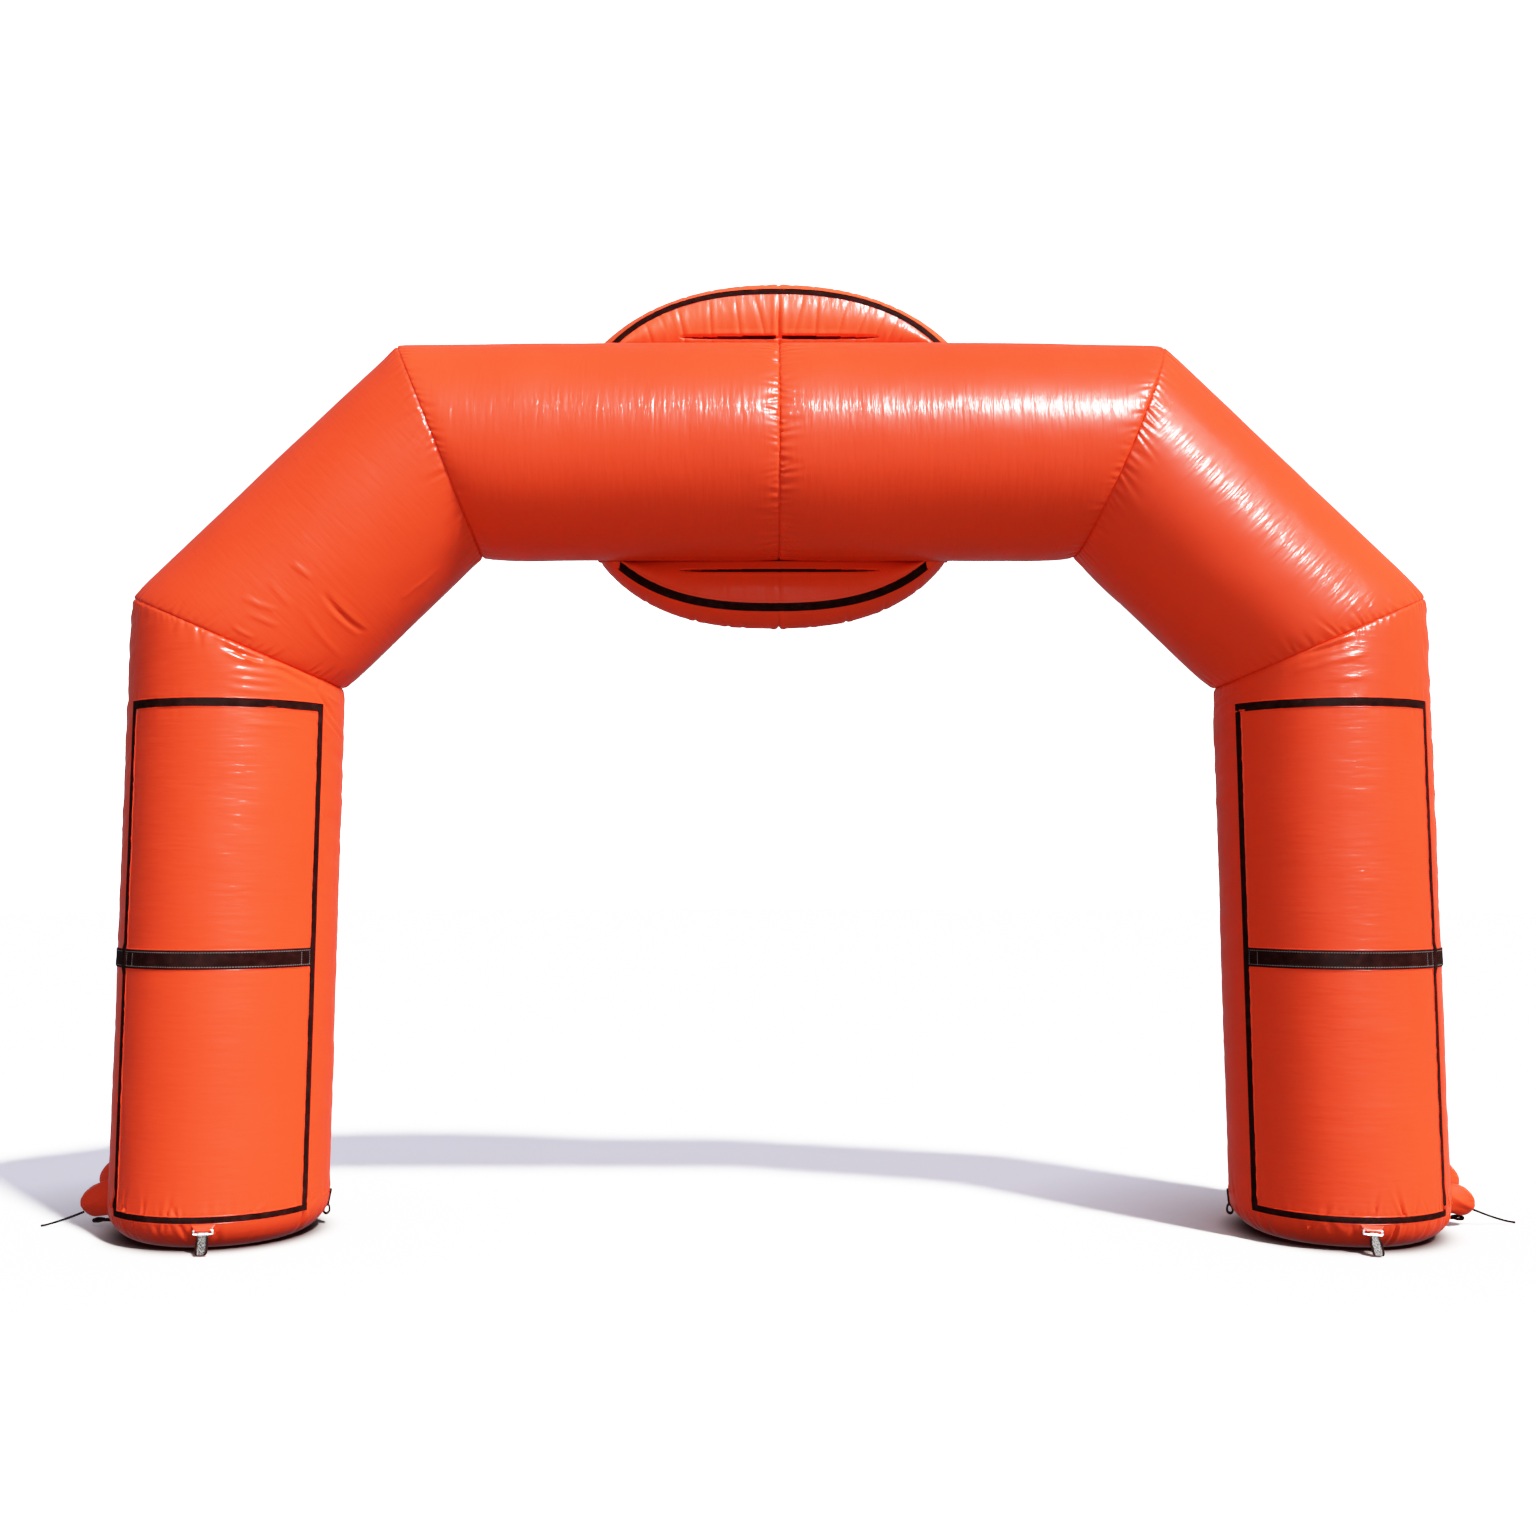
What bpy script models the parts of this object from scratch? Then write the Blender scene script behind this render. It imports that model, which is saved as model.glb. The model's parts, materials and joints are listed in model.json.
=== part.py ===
"""Inflatable arch: a mitred coated-cloth tube about 6 m wide and 4 m high, with an oval crest on its beam.

Metres, +Z up. The arch stands on Z = 0, its width runs along X and its front faces -Y. Angles round a tube
are counted from the front (0 degrees) over the outer side of the arch (90 degrees) to the back (180 degrees).
"""

import math

import bmesh
import bpy
from mathutils import Vector
from mathutils.bvhtree import BVHTree
from mathutils.geometry import tessellate_polygon

SIDES = (("left", -1), ("right", 1))
SEAM_GAP = 0.0002  # half the room between two cloth bodies that are sewn together
CONTACT_GAP = 0.0003  # room under a tape that lies on a tube
SEAT_GAP = 0.0008  # room between a seated piece and what carries it
SEAT_START = 0.05  # a piece is drawn back by this before it is seated
SAMPLE_STEP = 0.005
SHARP_ANGLE = math.radians(40)
BOX_SHIFT = 0.0190  # moves the tube axes back, so that the box is centred on Y = 0

# Tubes
FACETS = 40
LEG_FOOT_X = 2.529
LEG_LEAN = math.radians(0.945)
LEG_RADIUS = 0.4760
KNEE_HEIGHT = 2.662
CORNER_X = 1.5716
CORNER_HEIGHT = 3.554
BEAM_RISE = 0.004  # the middle of the beam stands this much above its corners
# side: radius of the shoulder, how far the front of the seam above it lies towards the middle of the arch
SHOULDERS = {
    "left": (0.4795, 0.037),
    "right": (0.4840, 0.0),
}
TURN_REACH = 0.15  # how far the turn of that seam is felt along the tubes
BEAM_RADIUS = 0.498
BEAM_END_RADIUS = 0.490
BEAM_SWELL = 0.45  # length over which the beam grows from its end radius
KNEE_SEAM_RADIUS = 0.467
CORNER_SEAM_RADIUS = 0.479
CENTRE_SEAM_RADIUS = 0.489
SEAM_PINCH = 0.045  # how far a seam's waist is felt along the tube
PUCKER_DEPTH = 0.006
PUCKER_REACH = 0.034
PUCKERS = (0.0, 0.9, 0.3, 1.0, 0.1, 0.7, 0.0, 0.8, 0.4, 1.0)  # repeated round each seam
RIM_RADIUS = 0.15
RIM_LEVELS = (0.0, 0.008, 0.032, 0.066, 0.100)
RIM_PUCKER_DEPTH = 0.005
STRAIGHT_TOP = 2.20  # below this height the leg's rings are level
# Rings along each tube, as shares of its length
LEG_FRACTIONS = (0.0, 0.70, 0.86, 0.94, 1.0)
SHOULDER_FRACTIONS = (0.0, 0.03, 0.08, 0.18, 0.5, 0.82, 0.92, 0.97, 1.0)
BEAM_FRACTIONS = (0.0, 0.025, 0.06, 0.13, 0.30, 0.86, 0.94, 0.978, 1.0)

# Tape frame on each leg
TAPE = 0.0025  # thickness of a sewn tape
FRAME_TURN = -9.1  # degrees from the front to the frame's middle, towards the inner side
FRAME_HALF = 56.5  # degrees from the frame's middle to a side tape's middle
SIDE_TAPE_WIDTH = 0.034
TOP_TAPE = (2.330, 2.368)
BOTTOM_TAPE = (0.126, 0.154)
BAND_LEVELS = (1.198, 1.280)
BAND = 0.005  # thickness of the doubled strap
BAND_HOP = 0.030  # height over which the outer tape climbs onto the strap

# Crest
CREST_FRONT = 0.060  # Y of the taped seam in front
CREST_BACK = 0.350  # Y of the seam at the back
CREST_SEAM_CHAMFER = 0.0135
CREST_TAPE = 0.0030
CREST_TAPE_INSET = 0.001
CREST_TAPE_STOP = 0.012  # the tape ends this far before its seam sinks into the beam
CREST_LIFT = 0.0008  # growth of the room above the beam from point to point, where the crest runs out
SEAM_POINT = -8  # the seam's outer edge in a section, counted from its end
JOINT_FRONT = 0.102  # Y where the face is sewn to the beam
JOINT_BACK = 0.362
JOINT_GAP = 0.0007
FACE_BULGE = 0.030
BACK_BULGE = 0.035
TUCK_HEIGHT = 0.052  # from the beam to the long tuck in the face
TUCK_LIP = 0.013
TUCK_DEPTH = 0.024
TUCK_HALF_LENGTH = 0.47
TUCK_TAPER = 4  # power by which the tuck runs out to its ends
LOW_TUCK = 0.35  # most share of the face below the tuck, where the face is low
LOW_LIP = 0.08
# Rows of points across the crest's back, rim and face, as shares of their width
BACK_SHARES = (0.35, 0.75)
RIM_SHARES = (0.90, 0.70, 0.50, 0.30, 0.10)
FACE_SHARES = (0.82, 0.60, 0.42)
CREASE_HALF_WIDTH = 0.022
STATION_STEP = 0.085
CREST_CENTRE_HEIGHT = 3.598
RIM_ROUNDNESS = 0.7
# name, side of the beam, middle along X, then half width, height and power of the oval
# through the taped seam, and of the oval over the rim
CRESTS = (
    ("upper", 1, -0.0105, (0.945, 0.745, 2.3), (1.047, 0.8190, 2.15)),
    ("lower", -1, -0.0270, (0.922, 0.752, 2.5), (0.962, 0.8326, 2.4)),
)
# name, place along X, depth
CREASES = (
    ("upper", -0.577, 0.006),
    ("upper", -0.431, 0.006),
    ("upper", -0.314, 0.007),
    ("upper", -0.173, 0.007),
    ("upper", 0.000, 0.014),
    ("upper", 0.160, 0.006),
    ("upper", 0.333, 0.007),
    ("upper", 0.415, 0.006),
    ("upper", 0.530, 0.006),
    ("lower", -0.640, 0.006),
    ("lower", -0.395, 0.008),
    ("lower", -0.240, 0.005),
    ("lower", -0.170, 0.005),
    ("lower", 0.000, 0.014),
    ("lower", 0.150, 0.006),
    ("lower", 0.320, 0.008),
    ("lower", 0.500, 0.006),
    ("lower", 0.660, 0.007),
)

# Front anchors: side, degrees from the front, roll of the ring, shift of the strap, its swing,
# the share of its width that is left at the ring
ANCHORS = (
    ("left", -10.0, 0.0, -0.001, 0.0, 0.96),
    ("right", -2.3, -4.0, 0.004, 7.5, 0.72),
)
RING_WIDTH = 0.079
RING_HEIGHT = 0.017
RING_WIRE = 0.0035
WIRE_SIDES = 8
RING_REACH = 0.492  # from the leg's axis
RING_LEVEL = 0.093
WEBBING = 0.0025
EYE_SPACE = 0.0006
TAB_TOP_WIDTH = 0.096
TAB_EYE_WIDTH = 0.066
TAB_TOP = (0.4780, 0.1195)
STRAP_WIDTH = 0.053
STRAP_END = (0.537, 0.0075)
STRAP_PINCH_LEVEL = 0.05
STRAP_ROUNDING = 0.86  # share of the width that is left at the strap's end

# Webbing loops: name, side, degrees from the front, end of the tail, middle of the loop, its inner
# radius, the length added to it towards the tail
LOOPS = (
    ("side_loop", "left", -107.0, (0.4820, 0.158), (0.4630, 0.0600), 0.0115, 0.015),
    ("side_loop", "right", -107.0, (0.4900, 0.158), (0.4810, 0.0600), 0.0115, 0.015),
    ("sleeve_loop", "left", 99.0, (0.4300, 0.034), (0.6180, 0.0255), 0.0050, 0.035),
    ("sleeve_loop", "right", 99.0, (0.4300, 0.042), (0.6020, 0.0365), 0.0065, 0.035),
)
LOOP_WIDTH = 0.026
LOOP_STEPS = 14

# Air sleeve and the fold behind it: name, side, degrees from the front, level, length, half width,
# half height at the root and at the tip, fall to the tip
LOBES = (
    ("sleeve", "left", 98.0, 0.142, 0.199, 0.070, 0.096, 0.075, 0.036),
    ("sleeve", "right", 98.0, 0.140, 0.185, 0.070, 0.070, 0.080, 0.035),
    ("sleeve_fold", "left", 113.5, 0.220, 0.246, 0.046, 0.115, 0.085, 0.045),
    ("sleeve_fold", "right", 113.5, 0.212, 0.2534, 0.046, 0.112, 0.085, 0.045),
)
LOBE_FACETS = 16
LOBE_STATIONS = (0.0, 0.18, 0.40, 0.62, 0.80, 0.92, 0.985)
LOBE_ROUNDING = 4  # power by which a lobe's tip is rounded
LOBE_TAPER = 0.15  # share of the half width lost at the tip
ROOT_ROOM = 0.0035
ROOT_SHARES = (0.6, 0.25)  # rings of the root's face against the leg

CORD_RADIUS = 0.0055
# The drawcords' routes in a leg's own directions: outwards from the foot's axis, to the back, up
CORD_ROUTES = {
    "left": (
        (0.6496, 0.0890, 0.0629),
        (0.6727, 0.0855, 0.0540),
        (0.6958, 0.0820, 0.0450),
        (0.7189, 0.0785, 0.0370),
        (0.7421, 0.0750, 0.0290),
        (0.7652, 0.0715, 0.0220),
        (0.7883, 0.0680, 0.0155),
        (0.8114, 0.0645, 0.0095),
        (0.8345, 0.0610, 0.0060),
    ),
    "right": (
        (0.6431, 0.0890, 0.0740),
        (0.6696, 0.0945, 0.0635),
        (0.6961, 0.1000, 0.0530),
        (0.7226, 0.1050, 0.0430),
        (0.7491, 0.1105, 0.0335),
        (0.7755, 0.1160, 0.0250),
        (0.8020, 0.1215, 0.0170),
        (0.8285, 0.1265, 0.0105),
        (0.8550, 0.1320, 0.0060),
    ),
}

MATERIALS = {
    "cloth": ((0.80, 0.075, 0.018), 0.38, 0.0),
    "webbing": ((0.012, 0.009, 0.009), 0.70, 0.0),
    "metal": ((0.80, 0.80, 0.82), 0.18, 1.0),
}


def clear_scene():
    for thing in list(bpy.data.objects):
        bpy.data.objects.remove(thing, do_unlink=True)


def make_materials():
    for name, (colour, roughness, metallic) in MATERIALS.items():
        material = bpy.data.materials.new(name)
        material.use_nodes = True
        shader = material.node_tree.nodes["Principled BSDF"]
        shader.inputs["Base Color"].default_value = (*colour, 1.0)
        shader.inputs["Roughness"].default_value = roughness
        shader.inputs["Metallic"].default_value = metallic


def make_object(name, points, faces, material):
    """A closed mesh, faces outwards, shaded smooth apart from its sharp edges."""
    mesh = bpy.data.meshes.new(name)
    mesh.from_pydata([tuple(point) for point in points], [], faces)
    body = bmesh.new()
    body.from_mesh(mesh)
    bmesh.ops.recalc_face_normals(body, faces=body.faces)
    if body.calc_volume(signed=True) < 0:
        bmesh.ops.reverse_faces(body, faces=body.faces)
    body.to_mesh(mesh)
    body.free()
    mesh.shade_smooth()
    mesh.set_sharp_from_angle(angle=SHARP_ANGLE)
    mesh.materials.append(bpy.data.materials[material])
    thing = bpy.data.objects.new(name, mesh)
    bpy.context.scene.collection.objects.link(thing)
    return thing


def loft(name, rings, material):
    """A body through rings of equally many points. Both ends are closed by a flat face."""
    count = len(rings[0])
    points = [point for ring in rings for point in ring]
    faces = []
    for row in range(len(rings) - 1):
        for step in range(count):
            a = row * count + step
            b = row * count + (step + 1) % count
            faces.append((a, b, b + count))
            faces.append((a, b + count, a + count))
    faces.append(tuple(range(count)))
    faces.append(tuple(range((len(rings) - 1) * count, len(rings) * count)))
    return make_object(name, points, faces, material)


def facet_angles():
    return [math.tau * step / FACETS for step in range(FACETS)]


def chord_radius(radius, angle):
    """Radius of a tube's flat facet at an angle that may lie between two of its edges."""
    step = math.tau / FACETS
    off_middle = angle % step - step / 2
    return radius * math.cos(step / 2) / math.cos(off_middle)


# Tubes


def leg_axis_x(height):
    return LEG_FOOT_X - math.tan(LEG_LEAN) * height


def arch_line():
    """Axis points of the right half, from the level ring on the leg to the middle of the beam."""
    return [
        Vector((leg_axis_x(STRAIGHT_TOP), 0, STRAIGHT_TOP)),
        Vector((leg_axis_x(KNEE_HEIGHT), 0, KNEE_HEIGHT)),
        Vector((CORNER_X, 0, CORNER_HEIGHT)),
        Vector((0, 0, CORNER_HEIGHT + BEAM_RISE)),
    ]


def seam_waist(distance, body, seam):
    return (body - seam) * math.exp(-distance / SEAM_PINCH)


def pucker(distance, step):
    rise = distance / PUCKER_REACH
    return PUCKER_DEPTH * PUCKERS[step % len(PUCKERS)] * rise * math.exp(1 - rise)


def tube_rings(start, end, start_cut, end_cut, seams, body_radius, fractions, turns=(0.0, 0.0)):
    """Rings of a straight tube between two cutting planes. A seam radius of None is a plain ring.

    A turn carries the front of the seam along the cutting plane's normal and its back the other way.
    """
    along = (end - start).normalized()
    length = (end - start).length
    outwards = Vector((along.z, 0, -along.x))
    rings = []
    for fraction in fractions:
        ring = []
        for step, angle in enumerate(facet_angles()):
            aside = outwards * math.sin(angle) - Vector((0, math.cos(angle), 0))
            first_radius = seams[0] or body_radius(0.0)
            last_radius = seams[1] or body_radius(length)
            first = -aside.dot(start_cut) * first_radius / along.dot(start_cut)
            last = length - aside.dot(end_cut) * last_radius / along.dot(end_cut)
            if seams[0]:
                first += SEAM_GAP
            if seams[1]:
                last -= SEAM_GAP
            place = first + (last - first) * fraction
            radius = body_radius(place)
            if seams[0]:
                radius -= seam_waist(place - first, body_radius(first), seams[0])
                radius -= pucker(place - first, step)
            if seams[1]:
                radius -= seam_waist(last - place, body_radius(last), seams[1])
                radius -= pucker(last - place, step)
            turned = start_cut * (turns[0] * math.exp((first - place) / TURN_REACH))
            turned += end_cut * (turns[1] * math.exp((place - last) / TURN_REACH))
            ring.append(start + along * place + aside * radius + turned * math.cos(angle))
        rings.append(ring)
    return rings


def mirrored(rings, side):
    return [[Vector((point.x * side, point.y, point.z)) for point in ring] for ring in rings]


def rim_radius(level):
    """Radius of the leg at a level, with its turned-under base."""
    if level >= RIM_RADIUS:
        return LEG_RADIUS
    rise = RIM_RADIUS - level
    return LEG_RADIUS - RIM_RADIUS + math.sqrt(RIM_RADIUS**2 - rise**2)


def rim_pucker(level, step):
    """Radial creases of the base, none at the floor or under the tape."""
    share = math.sin(math.pi * min(level / BOTTOM_TAPE[0], 1.0))
    return RIM_PUCKER_DEPTH * PUCKERS[(step * 3) % len(PUCKERS)] * share


def base_rings():
    rings = []
    for level in RIM_LEVELS + BOTTOM_TAPE:
        ring = []
        for step, angle in enumerate(facet_angles()):
            radius = rim_radius(level) - rim_pucker(level, step)
            aside = Vector((math.sin(angle), -math.cos(angle), 0)) * radius
            ring.append(Vector((leg_axis_x(level), 0, level)) + aside)
        rings.append(ring)
    return rings


def halfway(first, second):
    return (first.normalized() + second.normalized()).normalized()


def make_tubes():
    level, knee, corner, middle = arch_line()
    leg_way, shoulder_way, beam_way = knee - level, corner - knee, middle - corner
    knee_cut = halfway(leg_way, shoulder_way)
    corner_cut = halfway(shoulder_way, beam_way)

    def beam_body(place):
        swell = min(max(place / BEAM_SWELL, 0.0), 1.0)
        swell = swell * swell * (3 - 2 * swell)
        return BEAM_END_RADIUS + (BEAM_RADIUS - BEAM_END_RADIUS) * swell

    leg = base_rings() + tube_rings(
        level,
        knee,
        Vector((0, 0, 1)),
        knee_cut,
        (None, KNEE_SEAM_RADIUS),
        lambda place: LEG_RADIUS,
        LEG_FRACTIONS,
    )
    for name, side in SIDES:
        shoulder_radius, turn = SHOULDERS[name]
        shoulder = tube_rings(
            knee,
            corner,
            knee_cut,
            corner_cut,
            (KNEE_SEAM_RADIUS, CORNER_SEAM_RADIUS),
            lambda place: shoulder_radius,
            SHOULDER_FRACTIONS,
            (0.0, turn),
        )
        beam = tube_rings(
            corner,
            middle,
            corner_cut,
            Vector((-1, 0, 0)),
            (CORNER_SEAM_RADIUS, CENTRE_SEAM_RADIUS),
            beam_body,
            BEAM_FRACTIONS,
            (turn, 0.0),
        )
        loft(f"leg_{name}", mirrored(leg, side), "cloth")
        loft(f"shoulder_{name}", mirrored(shoulder, side), "cloth")
        loft(f"beam_{name}", mirrored(beam, side), "cloth")


# Tape frame


def facet_stops(first, last):
    """Angles from first to last, in radians, with every edge of the leg's facets between them."""
    step = math.tau / FACETS
    low = math.ceil(first / step + 1e-6)
    high = math.floor(last / step - 1e-6)
    return [first] + [step * index for index in range(low, high + 1)] + [last]


def wrapped_strip(name, side, first, last, levels, thickness):
    """A strip lying on a leg, between two angles, through (level, extra lift) rows."""
    stops = facet_stops(math.radians(first), math.radians(last))
    rings = []
    for level, extra in levels:
        inner = []
        outer = []
        for angle in stops:
            base = chord_radius(rim_radius(level), angle) + CONTACT_GAP + extra
            way = Vector((math.sin(angle) * side, -math.cos(angle), 0))
            middle = Vector((leg_axis_x(level) * side, 0, level))
            inner.append(middle + way * base)
            outer.append(middle + way * (base + thickness))
        rings.append(inner + outer[::-1])
    return loft(name, rings, "webbing")


def make_frames():
    half_tape = math.degrees(SIDE_TAPE_WIDTH / 2 / LEG_RADIUS)
    sliver = math.degrees(SEAT_GAP / LEG_RADIUS)
    inner_mid = FRAME_TURN - FRAME_HALF
    outer_mid = FRAME_TURN + FRAME_HALF
    back_end = 360 + inner_mid - 2 * (inner_mid + 90)  # the front end mirrored to the back
    on_band = BAND + CONTACT_GAP
    low, high = BAND_LEVELS
    plain_rows = ((BOTTOM_TAPE[0], 0.0), (BOTTOM_TAPE[1], 0.0), (TOP_TAPE[1], 0.0))
    hop_rows = (
        (BOTTOM_TAPE[0], 0.0),
        (BOTTOM_TAPE[1], 0.0),
        (low - BAND_HOP, 0.0),
        (low - TAPE, on_band),
        (high + TAPE, on_band),
        (high + BAND_HOP, 0.0),
        (TOP_TAPE[1], 0.0),
    )
    for name, side in SIDES:
        inside = (inner_mid + half_tape + sliver, outer_mid - half_tape - sliver)
        wrapped_strip(
            f"tape_inner_{name}", side, inner_mid - half_tape, inner_mid + half_tape, plain_rows, TAPE
        )
        wrapped_strip(
            f"tape_outer_{name}", side, outer_mid - half_tape, outer_mid + half_tape, hop_rows, TAPE
        )
        for place, (bottom, top) in (("top", TOP_TAPE), ("bottom", BOTTOM_TAPE)):
            rows = ((bottom, 0.0), (top, 0.0))
            wrapped_strip(f"tape_{place}_{name}", side, *inside, rows, TAPE)
        rows = ((low, 0.0), (high, 0.0))
        wrapped_strip(f"band_{name}", side, inside[0], back_end, rows, BAND)


# Crest


def beam_axis_height(x):
    return CORNER_HEIGHT + BEAM_RISE * (1 - abs(x) / CORNER_X)


def oval(x, size, inset=0.0):
    """Height of an oval above its middle at x, or nothing past its end."""
    width, height, power = size
    share = min(abs(x) / (width + inset), 1.0)
    return (height + inset) * (1 - share**power) ** (1 / power)


def crest_reach(side, size, y):
    """Half width at which one of a crest's ovals sinks into the beam, at the depth y."""
    width, height, power = size
    beam = side * (CORNER_HEIGHT + BEAM_RISE - CREST_CENTRE_HEIGHT) + math.sqrt(BEAM_RADIUS**2 - y**2)
    return width * (1 - (beam / height) ** power) ** (1 / power)


def crease_at(name, x):
    depth = 0.0
    for crest, place, most in CREASES:
        if crest == name:
            depth = max(depth, most * max(1 - abs(x - place) / CREASE_HALF_WIDTH, 0.0))
    return depth


def crest_section(name, side, middle, seam_size, rim_size, x):
    """Outline of a crest across the beam at x, as (y, z): the joint, the back, the rim and the face."""
    axis = beam_axis_height(x)
    radius = BEAM_RADIUS + JOINT_GAP
    crease = crease_at(name, x)

    def on_beam(y):
        return math.sqrt(radius**2 - y**2)

    def height(size, inset):
        up = oval(x - middle, size, inset) * side
        return (CREST_CENTRE_HEIGHT + up - axis) * side

    first = math.acos(-JOINT_FRONT / radius)
    last = math.acos(-JOINT_BACK / radius)
    joint = []
    for angle in facet_stops(first, last):
        joint.append((-math.cos(angle) * radius, math.sin(angle) * radius))
    back_top = height(seam_size, -CREST_SEAM_CHAMFER)
    joint_back = joint[-1]
    outline = []
    for share in BACK_SHARES:
        y = joint_back[0] + (CREST_BACK - joint_back[0]) * share
        y += (BACK_BULGE - crease) * math.sin(math.pi * share)
        outline.append((y, joint_back[1] + (back_top - joint_back[1]) * share))
    outline.append((CREST_BACK + CREST_SEAM_CHAMFER, back_top))
    outline.append((CREST_BACK - CREST_SEAM_CHAMFER, height(seam_size, CREST_SEAM_CHAMFER)))
    low = height(seam_size, CREST_SEAM_CHAMFER)
    high = height(rim_size, 0.0) - crease
    for share in RIM_SHARES:
        y = CREST_FRONT + (CREST_BACK - CREST_FRONT) * share
        outline.append((y, low + (high - low) * math.sin(math.pi * share) ** RIM_ROUNDNESS))
    outline.append((CREST_FRONT + CREST_SEAM_CHAMFER, low))
    face_top = height(seam_size, -CREST_SEAM_CHAMFER)
    face_height = face_top - joint[0][1]
    face_y = CREST_FRONT - CREST_SEAM_CHAMFER
    outline.append((face_y, face_top))
    tuck = TUCK_DEPTH * max(1 - (x / TUCK_HALF_LENGTH) ** TUCK_TAPER, 0.0)
    tuck_low = min(TUCK_HEIGHT, face_height * LOW_TUCK)
    lip = min(TUCK_LIP, face_height * LOW_LIP)
    rows = [(joint[0][1] + face_height * share, 0.0) for share in FACE_SHARES]
    rows += [
        (joint[0][1] + tuck_low + lip, 0.0),
        (joint[0][1] + tuck_low, tuck),
        (joint[0][1] + tuck_low - lip, 0.0),
    ]
    for z, sunk in rows:
        share = (z - joint[0][1]) / max(face_height, 0.001)
        share = min(max(share, 0.0), 1.0)
        y = JOINT_FRONT + (face_y - JOINT_FRONT) * share
        y -= (FACE_BULGE - crease) * math.sin(math.pi * share)
        outline.append((y + sunk, z))
    # Near the ends the outline sinks into the beam, so it is kept just above it
    clear = []
    for order, (y, z) in enumerate(outline):
        step = CREST_LIFT * min(order + 1, len(outline) - order)
        clear.append((y, max(z, on_beam(y) + step)))
    return [(y, axis + z * side) for y, z in joint + clear]


def crest_stations(name, middle, end, tape_end):
    """Places along X: the ends, the creases with both their edges, and even steps between them."""
    places = set()
    for reach in (end, end * 0.985, end * 0.95, tape_end):
        places.update((middle - reach, middle + reach))
    for crest, place, _ in CREASES:
        if crest == name:
            places.update((place - CREASE_HALF_WIDTH, place, place + CREASE_HALF_WIDTH))
    filled = sorted(places)
    even = []
    for first, second in zip(filled, filled[1:]):
        even.append(first)
        parts = max(round((second - first) / STATION_STEP), 1)
        even += [first + (second - first) * part / parts for part in range(1, parts)]
    return even + [filled[-1]]


def crest_tape_ring(section, x, side):
    """The tape over the seam between rim and face."""
    outer, inner = Vector(section[SEAM_POINT]), Vector(section[SEAM_POINT + 1])
    across = (outer - inner).normalized()
    away = Vector((-across.y, across.x)) * side
    inner, outer = inner + across * CREST_TAPE_INSET, outer - across * CREST_TAPE_INSET
    low, high = away * CONTACT_GAP, away * (CONTACT_GAP + CREST_TAPE)
    return [Vector((x, *point)) for point in (outer + low, inner + low, inner + high, outer + high)]


def make_crests():
    for name, side, middle, seam_size, rim_size in CRESTS:
        end = crest_reach(side, rim_size, (CREST_FRONT + CREST_BACK) / 2)
        tape_end = crest_reach(side, seam_size, CREST_FRONT) - CREST_TAPE_STOP
        rings = []
        tape_rings = []
        for x in crest_stations(name, middle, end, tape_end):
            section = crest_section(name, side, middle, seam_size, rim_size, x)
            rings.append([Vector((x, y, z)) for y, z in section])
            if abs(x - middle) < tape_end + SEAM_GAP:
                tape_rings.append(crest_tape_ring(section, x, side))
        loft(f"crest_{name}", rings, "cloth")
        loft(f"crest_tape_{name}", tape_rings, "webbing")


# Fittings on the base


def leg_frame(side, degrees, level):
    """Origin on a leg's axis at the floor, and the directions outwards, round the leg and up."""
    angle = math.radians(degrees)
    outwards = Vector((math.sin(angle) * side, -math.cos(angle), 0))
    around = Vector((0, 0, 1)).cross(outwards)
    return Vector((leg_axis_x(level) * side, 0, 0)), outwards, around


def profile_body(name, loops, widths, frame, material, roll=0.0, shift=0.0, swing=0.0):
    """Extrudes flat loops of (outwards, up) points by the width at each point.

    A roll turns the body about the middle of the anchor's ring, and a swing carries its lower end aside.
    """
    origin, outwards, around = frame
    up = Vector((0, 0, 1))
    level_way = around * math.cos(roll) + up * math.sin(roll)
    steep_way = up * math.cos(roll) - around * math.sin(roll)
    flat = [[Vector((u, v, 0)) for u, v in loop] for loop in loops]
    count = sum(len(loop) for loop in loops)
    points = []
    for hand in (-0.5, 0.5):
        for loop in loops:
            for u, v in loop:
                rise = v - RING_LEVEL
                aside = shift - swing * rise + hand * widths(v)
                level = origin + outwards * u + up * RING_LEVEL
                points.append(level + steep_way * rise + level_way * aside)
    faces = []
    start = 0
    for loop in loops:
        size = len(loop)
        for step in range(size):
            a = start + step
            b = start + (step + 1) % size
            faces.append((a, b, b + count, a + count))
        start += size
    for a, b, c in tessellate_polygon(flat):
        faces.append((a, b, c))
        faces.append((a + count, b + count, c + count))
    return make_object(name, points, faces, material)


def eye_loops(middle, tail_end, radius, length=0.0):
    """Side view of a doubled webbing: an eye round its middle, and a two-layer tail."""
    middle, tail_end = Vector(middle), Vector(tail_end)
    way = (tail_end - middle).normalized()
    across = Vector((-way.y, way.x))

    def point_at(size, angle):
        stretch = length * ((1 + math.cos(angle)) / 2) ** 2
        return middle + way * (math.cos(angle) * size + stretch) + across * (math.sin(angle) * size)

    outer_radius = radius + WEBBING
    start = math.asin(WEBBING / outer_radius)
    outer = [tail_end + across * WEBBING]
    for step in range(LOOP_STEPS + 1):
        outer.append(point_at(outer_radius, start + (math.tau - 2 * start) * step / LOOP_STEPS))
    outer.append(tail_end - across * WEBBING)
    inner = [point_at(radius, math.tau * (step + 0.5) / LOOP_STEPS) for step in range(LOOP_STEPS)]
    return [[tuple(point) for point in outer], [tuple(point) for point in inner]]


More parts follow.
